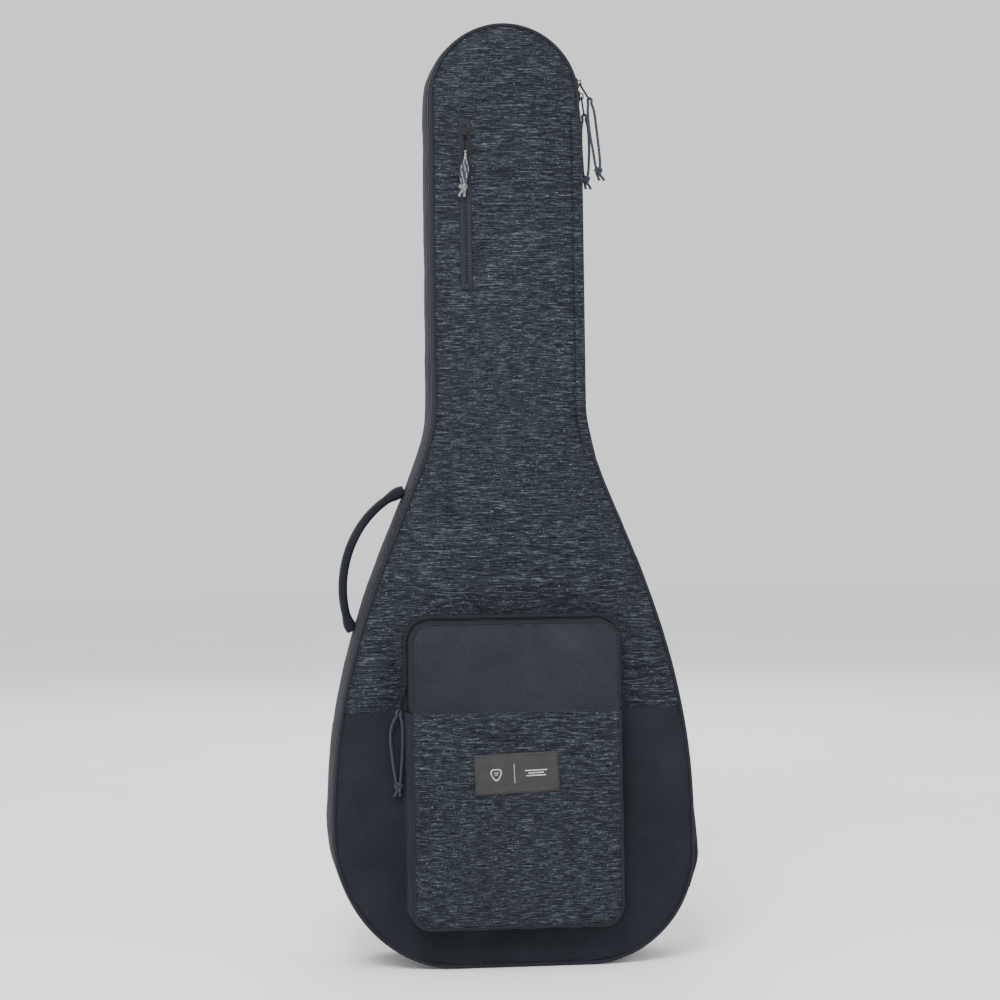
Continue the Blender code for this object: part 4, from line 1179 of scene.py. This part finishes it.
def make_shell_lining():
    """Plush lining: over the foam's front rim, down the side and across the back."""
    insets = [0.0016, 0.0030, 0.0060, 0.0095, 0.0120, 0.0128, 0.0128, 0.0128, 0.0150]
    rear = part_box("back_lining")[0].y
    start = [0.0150, 0.0146, 0.0145, 0.0147, 0.0160, 0.0200]
    x = OUTLINE[:, 0, None] - OUTLINE[:, 2, None] * np.array(insets)
    z = OUTLINE[:, 1, None] - OUTLINE[:, 3, None] * np.array(insets)
    y = np.empty_like(x)
    y[:, :6] = front(z[:, :6], np.array(start))
    y[:, 6] = (y[:, 5] + rear) / 2
    y[:, 7] = rear - 0.0030
    y[:, 8] = rear - 0.0002
    side = grid_object("gusset_lining_look", np.stack([x, y, z], 2), close_rows=True, flip=True)
    finish_piece(side, "lining", "shell", ["gusset_lining"])
    gx, gz = face_grid(OUTLINE, 0.0146, -1, 9, 110, 40, 0.7)
    d = distances(OUTLINE_TREE, gx, gz)
    puff = 0.0012 * (1 - np.exp(-np.maximum(d - 0.0146, 0) / 0.02))
    puff = puff + noise_grid(gx, gz, 0.06, 0.06, 2.9) * 0.0003
    back = grid_object("back_lining_look", np.stack([gx, rear - 0.0002 - puff, gz], 2))
    finish_piece(back, "lining", "shell", ["back_lining"])


# ---------------------------------------------------------------- front pocket
POCKET_EDGE_OUT = 0.0350
POCKET_FACE_INSET = 0.0072
# Each crease falls from the flap's top edge: its place across, its lean and its depth.
FLAP_CREASES = ((-0.060, -0.35, 0.0040), (0.004, 0.15, 0.0052), (0.022, 0.45, 0.0060), (0.085, 0.8, 0.0040))


def pocket_out(x, z, seed):
    """How far the pocket's face stands off the lid's flat plane."""
    d = np.maximum(distances(POCKET_TREE, x, z) - POCKET_FACE_INSET, 0)
    out = POCKET_EDGE_OUT + 0.0046 * (1 - np.exp(-d / 0.020))
    out = out - 0.0012 * np.exp(-((z - SEAM_HEIGHT) / 0.0035) ** 2) * soft_step(d, 0.0, 0.01)
    slow = noise_grid(x, z, 0.060, 0.034, seed) * 0.0010
    fine = noise_grid(x, z, 0.022, 0.013, seed + 3) * 0.0003
    below_top = np.maximum(POCKET_TOP - 0.008 - z, 0)
    upper_edge = np.exp(-below_top / 0.022) * noise_grid(x, z, 0.016, 0.045, seed + 9) * 0.0030
    for spot, lean, depth in FLAP_CREASES:
        away = x - spot - lean * below_top
        crease = depth * np.exp(-(away / (0.0042 + 0.16 * below_top)) ** 2)
        upper_edge = upper_edge - crease * np.exp(-below_top / 0.034)
    return out + (slow + fine + upper_edge) * soft_step(d, 0.0, 0.007)


def pocket_wall(name, stations, insets, outs, finish, body, replaced, seed, amount=0.0009):
    """The pocket's side: insets and outs give its section, from the lid to the pocket's face."""
    insets, outs = np.array(insets, float), np.array(outs, float)
    walked = walked_along(stations)
    share = np.linspace(0, 1, len(insets))
    lumps = noise_grid(walked[:, None] + 0 * share, outs + 0 * walked[:, None], 0.022, 0.016, seed)
    inset = insets + lumps * amount * np.sin(math.pi * share)
    x = stations[:, 0, None] - stations[:, 2, None] * inset
    z = stations[:, 1, None] - stations[:, 3, None] * inset
    item = grid_object(name, np.stack([x, front(z, -outs), z], 2), flip=True)
    finish_piece(item, finish, body, replaced)
    return item


def make_pocket():
    lower = stretch(POCKET, (-1, SEAM_HEIGHT), (1, SEAM_HEIGHT))
    upper = stretch(POCKET, (1, SEAM_HEIGHT), (-1, SEAM_HEIGHT))
    wall = pocket_wall(
        "pocket_wall_look", lower,
        [-0.0030, -0.0006, 0.0002, 0.0008, 0.0018, 0.0030, 0.0040, 0.0050, 0.0061, 0.0076],
        [-0.0006, 0.0006, 0.0050, 0.0110, 0.0180, 0.0250, 0.0300, 0.0330, 0.0346, 0.0350],
        "plain_fabric", "lid", ["pocket_wall"], 3.3, 0.0016,
    )
    pocket_wall(
        "pocket_base_band_look", upper,
        [-0.0036, -0.0022, -0.0014, -0.0010, -0.0002, 0.0014, 0.0026],
        [-0.0006, 0.0004, 0.0024, 0.0050, 0.0070, 0.0078, 0.0070],
        "binding", "lid", ["pocket_base_band"], 5.1, 0.0003,
    )
    pocket_wall("pocket_zip_tape_base_look", upper, [0.0022, 0.0028, 0.0030, 0.0034],
                [0.0060, 0.0074, 0.0090, 0.0101], "zip_tape", "lid", ["pocket_zip_tape_base"], 1.1, 0.0001)
    pocket_wall(
        "pocket_zip_tape_flap_look", upper, [0.0034, 0.0030, 0.0030, 0.0040],
        [0.0109, 0.0120, 0.0142, 0.0156],
        "zip_tape", "pocket_flap", ["pocket_zip_tape_flap"], 1.7, 0.0001,
    )
    band = pocket_wall(
        "pocket_flap_band_look", upper,
        [0.0058, 0.0046, 0.0042, 0.0042, 0.0046, 0.0052, 0.0058, 0.0064, 0.0076],
        [0.0138, 0.0142, 0.0166, 0.0205, 0.0256, 0.0304, 0.0333, 0.0346, 0.0350],
        "binding", "pocket_flap", ["pocket_flap_band"], 7.3, 0.0008,
    )
    for body, out, way in (("lid", 0.0103, 1), ("pocket_flap", 0.0107, -1)):
        line = np.stack([upper[:, 0] - upper[:, 2] * 0.0022, front(upper[:, 1], -out),
                         upper[:, 1] - upper[:, 3] * 0.0022], 1)
        centres, run, off = stitch_points(line, normals(upper), 0.0019)
        sideways = np.cross(off, run)
        sideways *= np.sign(sideways[:, 1:2]) * way
        centres = centres + sideways * 0.0009
        coil = tooth_row("pocket_coil_" + body, centres, run, off, 0.0011, 0.0026, 0.0015)
        finish_piece(coil, "coil", body)

    low_grid = face_grid(POCKET, POCKET_FACE_INSET, -1, SEAM_HEIGHT, 84, 60, 0.75)
    up_grid = face_grid(POCKET, POCKET_FACE_INSET, SEAM_HEIGHT, 9, 44, 60, 0.75)
    x = np.vstack([low_grid[0], up_grid[0][1:]])
    z = np.vstack([low_grid[1], up_grid[1][1:]])
    y = front(z) - pocket_out(x, z, 2.7)
    item = grid_object("pocket_cover", np.stack([x, y, z], 2))
    d = distances(POCKET_TREE, x, z)
    rim = d < POCKET_FACE_INSET + 0.0010
    rim[[0, -1]] = True
    rim[:, [0, -1]] = True
    seam = np.abs(z - SEAM_HEIGHT) < 0.0012
    in_label = (np.abs(x - LABEL_CENTRE[0]) < LABEL_HALF_LONG - 0.004)
    in_label &= np.abs(z - LABEL_CENTRE[1]) < LABEL_HALF_TALL - 0.0038
    settle(item, np.flatnonzero((rim | seam | in_label).ravel()), 0.014, 2.5, 0.0030)
    even_out(item, 1)
    found = np.array([v.co[:] for v in item.data.vertices]).reshape(x.shape + (3,))
    bpy.data.objects.remove(item)
    split = len(low_grid[0]) - 1
    face = grid_object("pocket_front_look", found[:split + 1])
    finish_piece(face, "woven_fabric", "lid", ["pocket_front"])
    flap = grid_object("pocket_flap_look", found[split:])
    # The flap takes the lighter copy of the plain fabric, a painted highlight for light from above.
    finish_piece(flap, "flap_fabric_painted_highlight", "pocket_flap", ["pocket_flap"])

    for part, side, off, body in (("flap", 1, 0.001, "pocket_flap"), ("front", -1, -0.001, "lid")):
        spots = stretch(POCKET, (side, SEAM_HEIGHT + off), (-side, SEAM_HEIGHT + off))
        rim_line = inset_line(spots, POCKET_FACE_INSET)
        line = np.array([(x, front(z, -POCKET_EDGE_OUT - 0.0002), z) for x, z in rim_line])
        bead = tube("pocket_edge_" + part, line, 0.0010, 8)
        finish_piece(bead, "binding", body)

    surface = Surface(found)
    half = POCKET_HALF_WIDTH - POCKET_FACE_INSET - 0.004
    line = [(-half + 2 * half * i / 50, SEAM_HEIGHT + 0.0072) for i in range(51)]
    stitched_line("pocket_seam_stitch", surface, line, "pocket_flap")
    edge = inset_line(stretch(POCKET, (-1, SEAM_HEIGHT - 0.01), (1, SEAM_HEIGHT - 0.01)), 0.0110)
    stitched_line("pocket_face_stitch", surface, edge, "lid")
    edge = inset_line(stretch(POCKET, (1, SEAM_HEIGHT + 0.01), (-1, SEAM_HEIGHT + 0.01)), 0.0110)
    stitched_line("pocket_flap_stitch", surface, edge, "pocket_flap")
    return surface


LABEL_CENTRE = (-0.0015, 0.2330)
LABEL_HALF_LONG = 0.050
LABEL_HALF_TALL = 0.0238
LABEL_TILT = math.radians(2.0)


def on_label(surface, u, v, off):
    """A point u across and v up from the label's middle, standing off the pocket's face."""
    c, s = math.cos(LABEL_TILT), math.sin(LABEL_TILT)
    return surface.at(LABEL_CENTRE[0] + u * c - v * s, LABEL_CENTRE[1] + u * s + v * c, off)


def label_print(name, surface, loops):
    """Flat raised marks on the label. Each is a closed loop of (u, v)."""
    points, faces = [], []
    for loop in loops:
        base = len(points)
        points += [tuple(on_label(surface, u, v, 0.00165)[0]) for u, v in loop]
        faces.append(tuple(range(base, base + len(loop))))
    item = mesh_object(name, points, faces, False)
    thicken(item, 0.0003, 0.0)
    baked(item)
    finish_piece(item, "label_thread", "lid")


def bar_loop(u, v, long, tall):
    return [(u - long / 2, v - tall / 2), (u + long / 2, v - tall / 2),
            (u + long / 2, v + tall / 2), (u - long / 2, v + tall / 2)]


def plectrum_ring(u, v, size, width):
    """The outline of a plectrum, as four-cornered tiles."""
    count = 36
    found = []
    for i in range(count):
        tile = []
        for k, scale in ((i, 1.0), (i + 1, 1.0), (i + 1, 1 - width), (i, 1 - width)):
            a = 2 * math.pi * k / count
            radius = size * scale * (1 + 0.13 * math.cos(3 * (a + math.pi / 2)))
            tile.append((u + radius * math.cos(a) * 0.92, v + radius * math.sin(a)))
        found.append(tile)
    return found


def make_label(surface):
    columns, rows = 40, 20
    grid = np.zeros((rows, columns, 3))
    for r in range(rows):
        for c in range(columns):
            u = LABEL_HALF_LONG * (2 * c / (columns - 1) - 1)
            v = LABEL_HALF_TALL * (2 * r / (rows - 1) - 1)
            edge = min(LABEL_HALF_LONG - abs(u), LABEL_HALF_TALL - abs(v))
            off = 0.0014 - 0.0005 * math.exp(-edge / 0.0008)
            grid[r, c] = on_label(surface, u, v, off)[0]
    item = thicken(grid_object("pocket_label_look", grid), 0.0012, -1.0)
    baked(item)
    item.data.shade_smooth()
    finish_piece(item, "label", "lid", ["pocket_label"])
    u, v = LABEL_HALF_LONG - 0.0022, LABEL_HALF_TALL - 0.0022
    corners = [(-u, -v), (u, -v), (u, v), (-u, v), (-u, -v)]
    for k in range(4):
        (a, b), (c, d) = corners[k], corners[k + 1]
        found = [on_label(surface, a + (c - a) * t, b + (d - b) * t, 0.0016) for t in np.linspace(0, 1, 30)]
        line = np.array([tuple(p) for p, _ in found])
        outs = np.array([tuple(n) for _, n in found])
        stitches(f"label_stitch_{k}", line, outs, "lid", "thread", 0.0030, 0.0022, 0.0006)
    marks = plectrum_ring(-0.0245, 0.0002, 0.0070, 0.20)
    marks += [bar_loop(-0.0245, 0.0016, 0.0056, 0.0009), bar_loop(-0.0245, -0.0008, 0.0036, 0.0009)]
    marks += [bar_loop(-0.0030, 0, 0.0006, 0.0220)]
    marks += [bar_loop(0.0225, 0.0026, 0.0260, 0.0013), bar_loop(0.0225, -0.0004, 0.0180, 0.0013),
              bar_loop(0.0225, -0.0034, 0.0230, 0.0013)]
    label_print("label_marks", surface, marks)


# ---------------------------------------------------------------- neck zip
# Across from the zip's middle, and out from the lid's flat face.
NECK_TAPE_SECTION = (
    (0.0070, 0.0002), (0.0068, 0.0012), (0.0050, 0.0014), (0.0030, 0.0012), (0.0016, 0.0006),
)


def make_neck_zip():
    low, high = NECK_ZIP_LOW.z, NECK_ZIP_HIGH.z
    middle = (NECK_ZIP_LOW.x + NECK_ZIP_HIGH.x) / 2
    heights = np.linspace(low, high, 90)
    for side, where in ((-1, "left"), (1, "right")):
        rows = []
        for z in heights:
            row = []
            for across, off in NECK_TAPE_SECTION:
                x = middle + side * across
                row.append((x, front(z, -off) - 0.0006, z))
            rows.append(row)
        item = grid_object("neck_zip_tape_" + where, np.array(rows), flip=side > 0)
        finish_piece(item, "pale_tape", "lid", ["neck_zip_tape"] if side < 0 else [])
        line = [(middle + side * 0.0058, front(z, -0.0022), z) for z in heights]
        stitches(f"neck_zip_stitch_{where}", line, [(0, -1, 0)] * len(line), "lid")
        line = np.array([(middle, front(z, -0.0007), z) for z in heights])
        centres, run, off = stitch_points(line, [(0, -1, 0)] * len(line), 0.0019)
        centres = centres + np.array([side, 0, 0]) * 0.0008
        teeth = tooth_row("neck_coil_" + where, centres, run, off, 0.0011, 0.0024, 0.0015)
        finish_piece(teeth, "coil", "lid")
    for z, where in ((low, "foot"), (high, "top")):
        rows = [[(middle + a, front(z + b, -0.0009 - c), z + b) for a, c in
                 ((-0.0072, 0.0), (-0.006, 0.0008), (0, 0.0012), (0.006, 0.0008), (0.0072, 0.0))]
                for b in (-0.0034, -0.0022, 0.0, 0.0022, 0.0034)]
        item = grid_object("neck_zip_bartack_" + where, np.array(rows))
        finish_piece(item, "pale_tape", "lid")


# ---------------------------------------------------------------- handle
HANDLE_Y = 0.016
HANDLE_CURVE = np.array([
    (-0.1220, HANDLE_Y, 0.5640), (-0.1900, HANDLE_Y, 0.5360),
    (-0.2120, HANDLE_Y, 0.4520), (-0.1860, HANDLE_Y, 0.3960),
])
GRIP_FROM, GRIP_TO = 0.085, 0.915


def on_handle(t):
    t = np.asarray(t, float)[..., None]
    a, b, c, d = HANDLE_CURVE
    return a * (1 - t) ** 3 + 3 * b * (1 - t) ** 2 * t + 3 * c * (1 - t) * t * t + d * t ** 3


def soft_band(name, centres, sideways, half_wide, half_thick, power=3.0, sides=20, ridges=0.0):
    """A padded band: its section is a rounded rectangle, with sizes for each centre."""
    centres = np.array(centres, float)
    count = len(centres)
    half_wide = np.broadcast_to(half_wide, count)
    half_thick = np.broadcast_to(half_thick, count)
    sideways = np.array(sideways, float) / np.linalg.norm(sideways)
    run = np.gradient(centres, axis=0)
    run /= np.linalg.norm(run, axis=1)[:, None]
    up = np.cross(run, sideways)
    up /= np.linalg.norm(up, axis=1)[:, None]
    angle = np.linspace(0, 2 * math.pi, sides, endpoint=False)
    across = np.sign(np.cos(angle)) * np.abs(np.cos(angle)) ** (2 / power)
    rise = np.sign(np.sin(angle)) * np.abs(np.sin(angle)) ** (2 / power)
    rise = rise * (1 - ridges * np.exp(-((np.abs(across) - 0.62) / 0.10) ** 2))
    rings = (
        centres[:, None]
        + sideways * (half_wide[:, None] * across)[..., None]
        + up[:, None] * (half_thick[:, None] * rise)[..., None]
    )
    return grid_object(name, rings, close_columns=True, caps=True)


def end_taper(count, reach):
    """1 along a band and rounding to small at both ends."""
    i = np.arange(count)
    near = np.minimum(i, count - 1 - i) / reach
    return np.sqrt(np.clip(1 - (1 - np.clip(near, 0, 1)) ** 2, 0.03, 1))


def make_handle():
    shares = np.linspace(GRIP_FROM, GRIP_TO, 64)
    round_end = end_taper(64, 4)
    swell = 1 + 0.05 * np.sin(np.linspace(0, math.pi, 64))
    grip = soft_band("handle_grip_look", on_handle(shares), (0, 1, 0), 0.0130 * round_end ** 0.4 * swell,
                     0.0049 * round_end * swell, 3.4, 28, 0.10)
    finish_piece(grip, "plain_fabric", "handle", ["handle_grip"])
    shares = np.linspace(GRIP_FROM + 0.015, GRIP_TO - 0.015, 70)
    line = on_handle(shares)
    run = np.gradient(line, axis=0)
    run /= np.linalg.norm(run, axis=1)[:, None]
    up = np.cross(run, (0, 1, 0))
    for side in (-1, 1):
        for face in (-1, 1):
            shifted = line + np.array([0, side * 0.0086, 0]) + up * face * 0.0047
            where = ("r" if side > 0 else "f") + ("o" if face > 0 else "i")
            stitches("handle_stitch_" + where, shifted, up * face, "handle")
    for where, start, end in (("upper", 0.0, GRIP_FROM + 0.030), ("lower", 1.0, GRIP_TO - 0.030)):
        shares = np.linspace(start, end, 20)
        flare = np.sin(np.linspace(math.pi * 0.75, 0.0, 20)) ** 2
        tab = soft_band("handle_end_" + where, on_handle(shares), (0, 1, 0),
                        0.0136 + 0.0015 * flare, 0.0052 + 0.0022 * flare, 3.2, 24, 0.12)
        finish_piece(tab, "plain_fabric", None, ["handle_anchor_" + where])
        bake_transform(tab)


# ---------------------------------------------------------------- shoulder straps
STRAP_TOP = (0.045, 0.668)
STRAP_LOW = (0.176, 0.112)


def strap_line(side, shares):
    t = np.asarray(shares, float)
    x = STRAP_TOP[0] + (STRAP_LOW[0] - STRAP_TOP[0]) * t
    z = STRAP_TOP[1] + (STRAP_LOW[1] - STRAP_TOP[1]) * t
    y = BACK + 0.010 + 0.022 * np.sin(math.pi * t)
    return np.stack([side * x, y, z], 1)


def make_straps():
    run = np.array([STRAP_LOW[0] - STRAP_TOP[0], 0, STRAP_LOW[1] - STRAP_TOP[1]])
    run /= np.linalg.norm(run)
    for side, where in ((1, "right"), (-1, "left")):
        body = "strap_" + where
        across = np.array([-run[2], 0, side * run[0]])
        line = strap_line(side, np.linspace(-0.006, 0.63, 90))
        taper = end_taper(90, 7)
        taper[:45] = 1 - 0.35 * np.exp(-np.arange(45) / 4.0)
        half_wide, half_thick = 0.0300 * taper ** 0.35, 0.0045 * taper ** 0.6
        pad = soft_band("strap_pad_look_" + where, line, across, half_wide, half_thick, 2.7, 36, 0.34)
        finish_piece(pad, "plain_fabric", body, ["strap_pad_" + where])
        for end, shift in (("a", -0.0290), ("b", 0.0290)):
            edge = line[4:-4] + across * shift
            bead = tube(f"strap_binding_{where}_{end}", edge, (0.0014, 0.0030), 12)
            finish_piece(bead, "binding", body)
        web = strap_line(side, np.linspace(0.640, 0.972, 60))
        webbing = soft_band("strap_webbing_look_" + where, web, across, 0.0125, 0.0008, 6.0, 16)
        finish_piece(webbing, "webbing", body, ["strap_webbing_" + where])
        for end, shift in (("a", -0.0085), ("b", 0.0085)):
            top = web[3:-6] + across * shift + np.array([0, 0.0009, 0])
            stitches(f"strap_stitch_{where}_{end}", top, [(0, 1, 0)] * len(top), body)
        fold = strap_line(side, np.linspace(0.585, 0.645, 14)) + (0, 0.0052, 0)
        keeper = soft_band("strap_loop_" + where, fold, across, 0.0125, 0.0009, 6.0, 16)
        finish_piece(keeper, "webbing", body)
        bars = []
        ladder = strap_line(side, np.linspace(0.634, 0.696, 9))
        for shift in (-0.0150, 0.0150):
            bars.append(soft_band("rail", ladder + across * shift, across, 0.0019, 0.0025, 4.0, 14))
        for k in (0, 3, 5, 8):
            ends = np.array([ladder[k] + across * s for s in np.linspace(-0.0150, 0.0150, 5)])
            bars.append(soft_band("bar", ends, run * np.array([side, 1, 1]), 0.0018, 0.0022, 4.0, 14))
        lock = joined(bars)
        lock.name = "strap_adjuster_look_" + where
        finish_piece(lock, "plastic", body, ["strap_adjuster_" + where])
        tab = strap_line(side, np.linspace(0.974, 1.012, 10))
        tab[:, 1] = BACK + 0.0078
        half_thick = 0.0073 * end_taper(10, 3) ** 0.5
        low = soft_band("strap_tab_low_" + where, tab, across, 0.0160, half_thick, 4.0, 20)
        finish_piece(low, "webbing", "shell", ["strap_anchor_low_" + where])
        centre = tab[5] + np.array([0, 0.0074, 0])
        along = run * np.array([side, 1, 1])
        box_stitch("strap_tab_stitch_" + where, centre, across, along, 0.0115, 0.0070)
    x = np.linspace(-0.079, 0.079, 60)
    line = np.stack([x, 0 * x + BACK + 0.0078, 0 * x + 0.677], 1)
    bar = soft_band("strap_yoke", line, (0, 0, 1), 0.0150, 0.0073 * end_taper(60, 4) ** 0.6, 3.6, 28, 0.12)
    finish_piece(bar, "webbing", "shell", ["strap_anchor_top"])
    level, upright = np.array([1, 0, 0]), np.array([0, 0, 1])
    for side, where in ((-1, "l"), (1, "r")):
        centre = np.array([side * STRAP_TOP[0], BACK + 0.0156, 0.679])
        box_stitch("yoke_stitch_" + where, centre, level, upright, 0.020, 0.0105)


def box_stitch(name, centre, across, up, half_long, half_tall):
    """A sewn rectangle with a cross in it, lying against the back."""
    corners = [(-1, -1), (1, -1), (1, 1), (-1, 1), (-1, -1), (1, 1), (1, -1), (-1, 1)]
    rows = []
    for (a, b), (c, d) in zip(corners, corners[1:]):
        ends = [centre + across * half_long * p + up * half_tall * q for p, q in ((a, b), (c, d))]
        line = np.array([ends[0] * (1 - t) + ends[1] * t for t in np.linspace(0, 1, 12)])
        centres, run, out = stitch_points(line, [(0, 1, 0)] * 12, 0.0034)
        rows.append(tooth_row(name, centres, np.cross(out, run), out, 0.0006, 0.0024, 0.0006))
    finish_piece(joined(rows), "thread", "shell")


# ---------------------------------------------------------------- inside and hardware
def softened(node, name, finish, body, width):
    """A CAD block turned into a padded one: edges rolled over, then remeshed and smoothed."""
    item = bpy.data.objects.new(name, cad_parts[node].data.copy())
    bpy.context.collection.objects.link(item)
    bevel = item.modifiers.new("bevel", "BEVEL")
    bevel.width = width
    bevel.segments = 4
    remesh = item.modifiers.new("remesh", "REMESH")
    remesh.mode = "VOXEL"
    remesh.voxel_size = 0.003
    smooth = item.modifiers.new("smooth", "SMOOTH")
    smooth.iterations = 4
    baked(item)
    item.data.shade_smooth()
    for vertex in item.data.vertices:
        x, y, z = vertex.co
        vertex.co += vertex.normal * rumple(x, y, z, 0.03, 4.0) * 0.0006
    return finish_piece(item, finish, body, [node])


def crisp(node, finish, body, width=0.00035):
    """A hard CAD part with its edges broken."""
    item = bpy.data.objects.new(node + "_look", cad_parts[node].data.copy())
    bpy.context.collection.objects.link(item)
    weld = item.modifiers.new("weld", "WELD")
    weld.merge_threshold = 0.00001
    bevel = item.modifiers.new("bevel", "BEVEL")
    bevel.width = width
    bevel.segments = 3
    bevel.limit_method = "ANGLE"
    bevel.angle_limit = math.radians(35)
    baked(item)
    item.data.shade_smooth()
    item.data.set_sharp_from_angle(angle=math.radians(50))
    return finish_piece(item, finish, body, [node])


def make_interior():
    cradle = softened("neck_cradle", "neck_cradle_look", "lining", "shell", 0.006)
    crisp("end_bumper", "rubber", "shell", 0.003)
    low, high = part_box("neck_strap")
    x = np.linspace(low.x, high.x, 50)
    y = (low.y + high.y) / 2 - 0.0012 * np.cos(x / high.x * math.pi / 2) + 0.0004
    line = np.stack([x, y, 0 * x + (low.z + high.z) / 2], 1)
    strap = soft_band("neck_strap_look", line, (0, 0, 1), (high.z - low.z) / 2, 0.0010, 6.0, 16)
    finish_piece(strap, "webbing", "shell", ["neck_strap"])
    low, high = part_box("neck_pocket_pouch")
    gx, gz = np.meshgrid(np.linspace(low.x, high.x, 24), np.linspace(low.z, high.z, 44))
    wave = noise_grid(gx, gz, 0.04, 0.04, 6.6) * 0.0001
    pouch = grid_object("neck_pouch_look", np.stack([gx, front(gz, 0.0033) + wave, gz], 2))
    baked(thicken(pouch, 0.0006, 0.0))
    finish_piece(pouch, "lining", "lid", ["neck_pocket_pouch"])


def make_hardware():
    for node in ("main_slider_1", "main_slider_2", "pocket_slider", "neck_slider"):
        crisp(node, "metal", node, 0.00045)
    for node in ("main_pull_1", "main_pull_2", "pocket_pull", "neck_pull"):
        crisp(node, "metal", node, 0.00028)


# ---------------------------------------------------------------- floor and light
def make_floor():
    made, tree, main, coords = shader("floor", 0.9, specular=0.1)
    grain = noise_of(tree, coords, 3.0, 3.0, 0.5)
    tree.links.new(ramp(tree, grain, [(0.3, grey(0.93)), (0.7, grey(0.96))]), main.inputs["Base Color"])
    x, y = np.meshgrid(np.linspace(-9, 9, 13), np.linspace(-9, 9, 13))
    floor = grid_object("floor", np.stack([x, y, 0 * x - 0.0005], 2))
    floor.data.materials.append(made)


def area_light(name, place, target, size, power):
    data = bpy.data.lights.new(name, "AREA")
    data.shape = "RECTANGLE"
    data.size, data.size_y = size
    data.energy = power
    item = bpy.data.objects.new(name, data)
    item.location = place
    item.rotation_euler = (Vector(target) - Vector(place)).to_track_quat("-Z", "Y").to_euler()
    bpy.context.collection.objects.link(item)


def make_lights():
    area_light("key", (-1.0, -3.0, 2.9), (-0.1, 0, 0.85), (1.3, 1.0), 96)
    area_light("head", (-0.5, -1.7, 2.5), (0, 0, 1.05), (0.9, 0.6), 34)
    area_light("low", (-0.6, -2.6, 0.35), (0, 0, 0.15), (1.6, 0.5), 14)
    area_light("fill_right", (2.6, -2.2, 1.5), (0, 0, 0.65), (1.6, 2.6), 26)
    area_light("fill_left", (-2.8, -1.2, 1.1), (0, 0, 0.55), (1.4, 2.6), 9)
    area_light("behind", (0.4, 3.2, 2.6), (0, 0, 0.6), (2.4, 1.8), 55)
    world = bpy.data.worlds.new("world")
    bpy.context.scene.world = world
    world.use_nodes = True
    sky = world.node_tree.nodes["Background"]
    sky.inputs["Color"].default_value = (0.93, 0.94, 0.96, 1)
    sky.inputs["Strength"].default_value = 1.16


def write_size():
    bpy.context.view_layer.update()
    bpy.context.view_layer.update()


def main():
    make_camera()
    make_loop("main_1", "main_pull_1")
    make_loop("main_2", "main_pull_2")
    make_loop("pocket", "pocket_pull")
    make_neck_braid()
    lid_surface = Surface(make_lid_cover())
    make_lid_trim(lid_surface)
    make_lid_lining()
    make_gusset()
    make_hinge_gore()
    make_zip_end_tab()
    make_back()
    make_shell_lining()
    pocket_surface = make_pocket()
    make_label(pocket_surface)
    make_neck_zip()
    make_handle()
    make_straps()
    make_interior()
    make_hardware()
    make_floor()
    make_lights()
    write_size()


main()
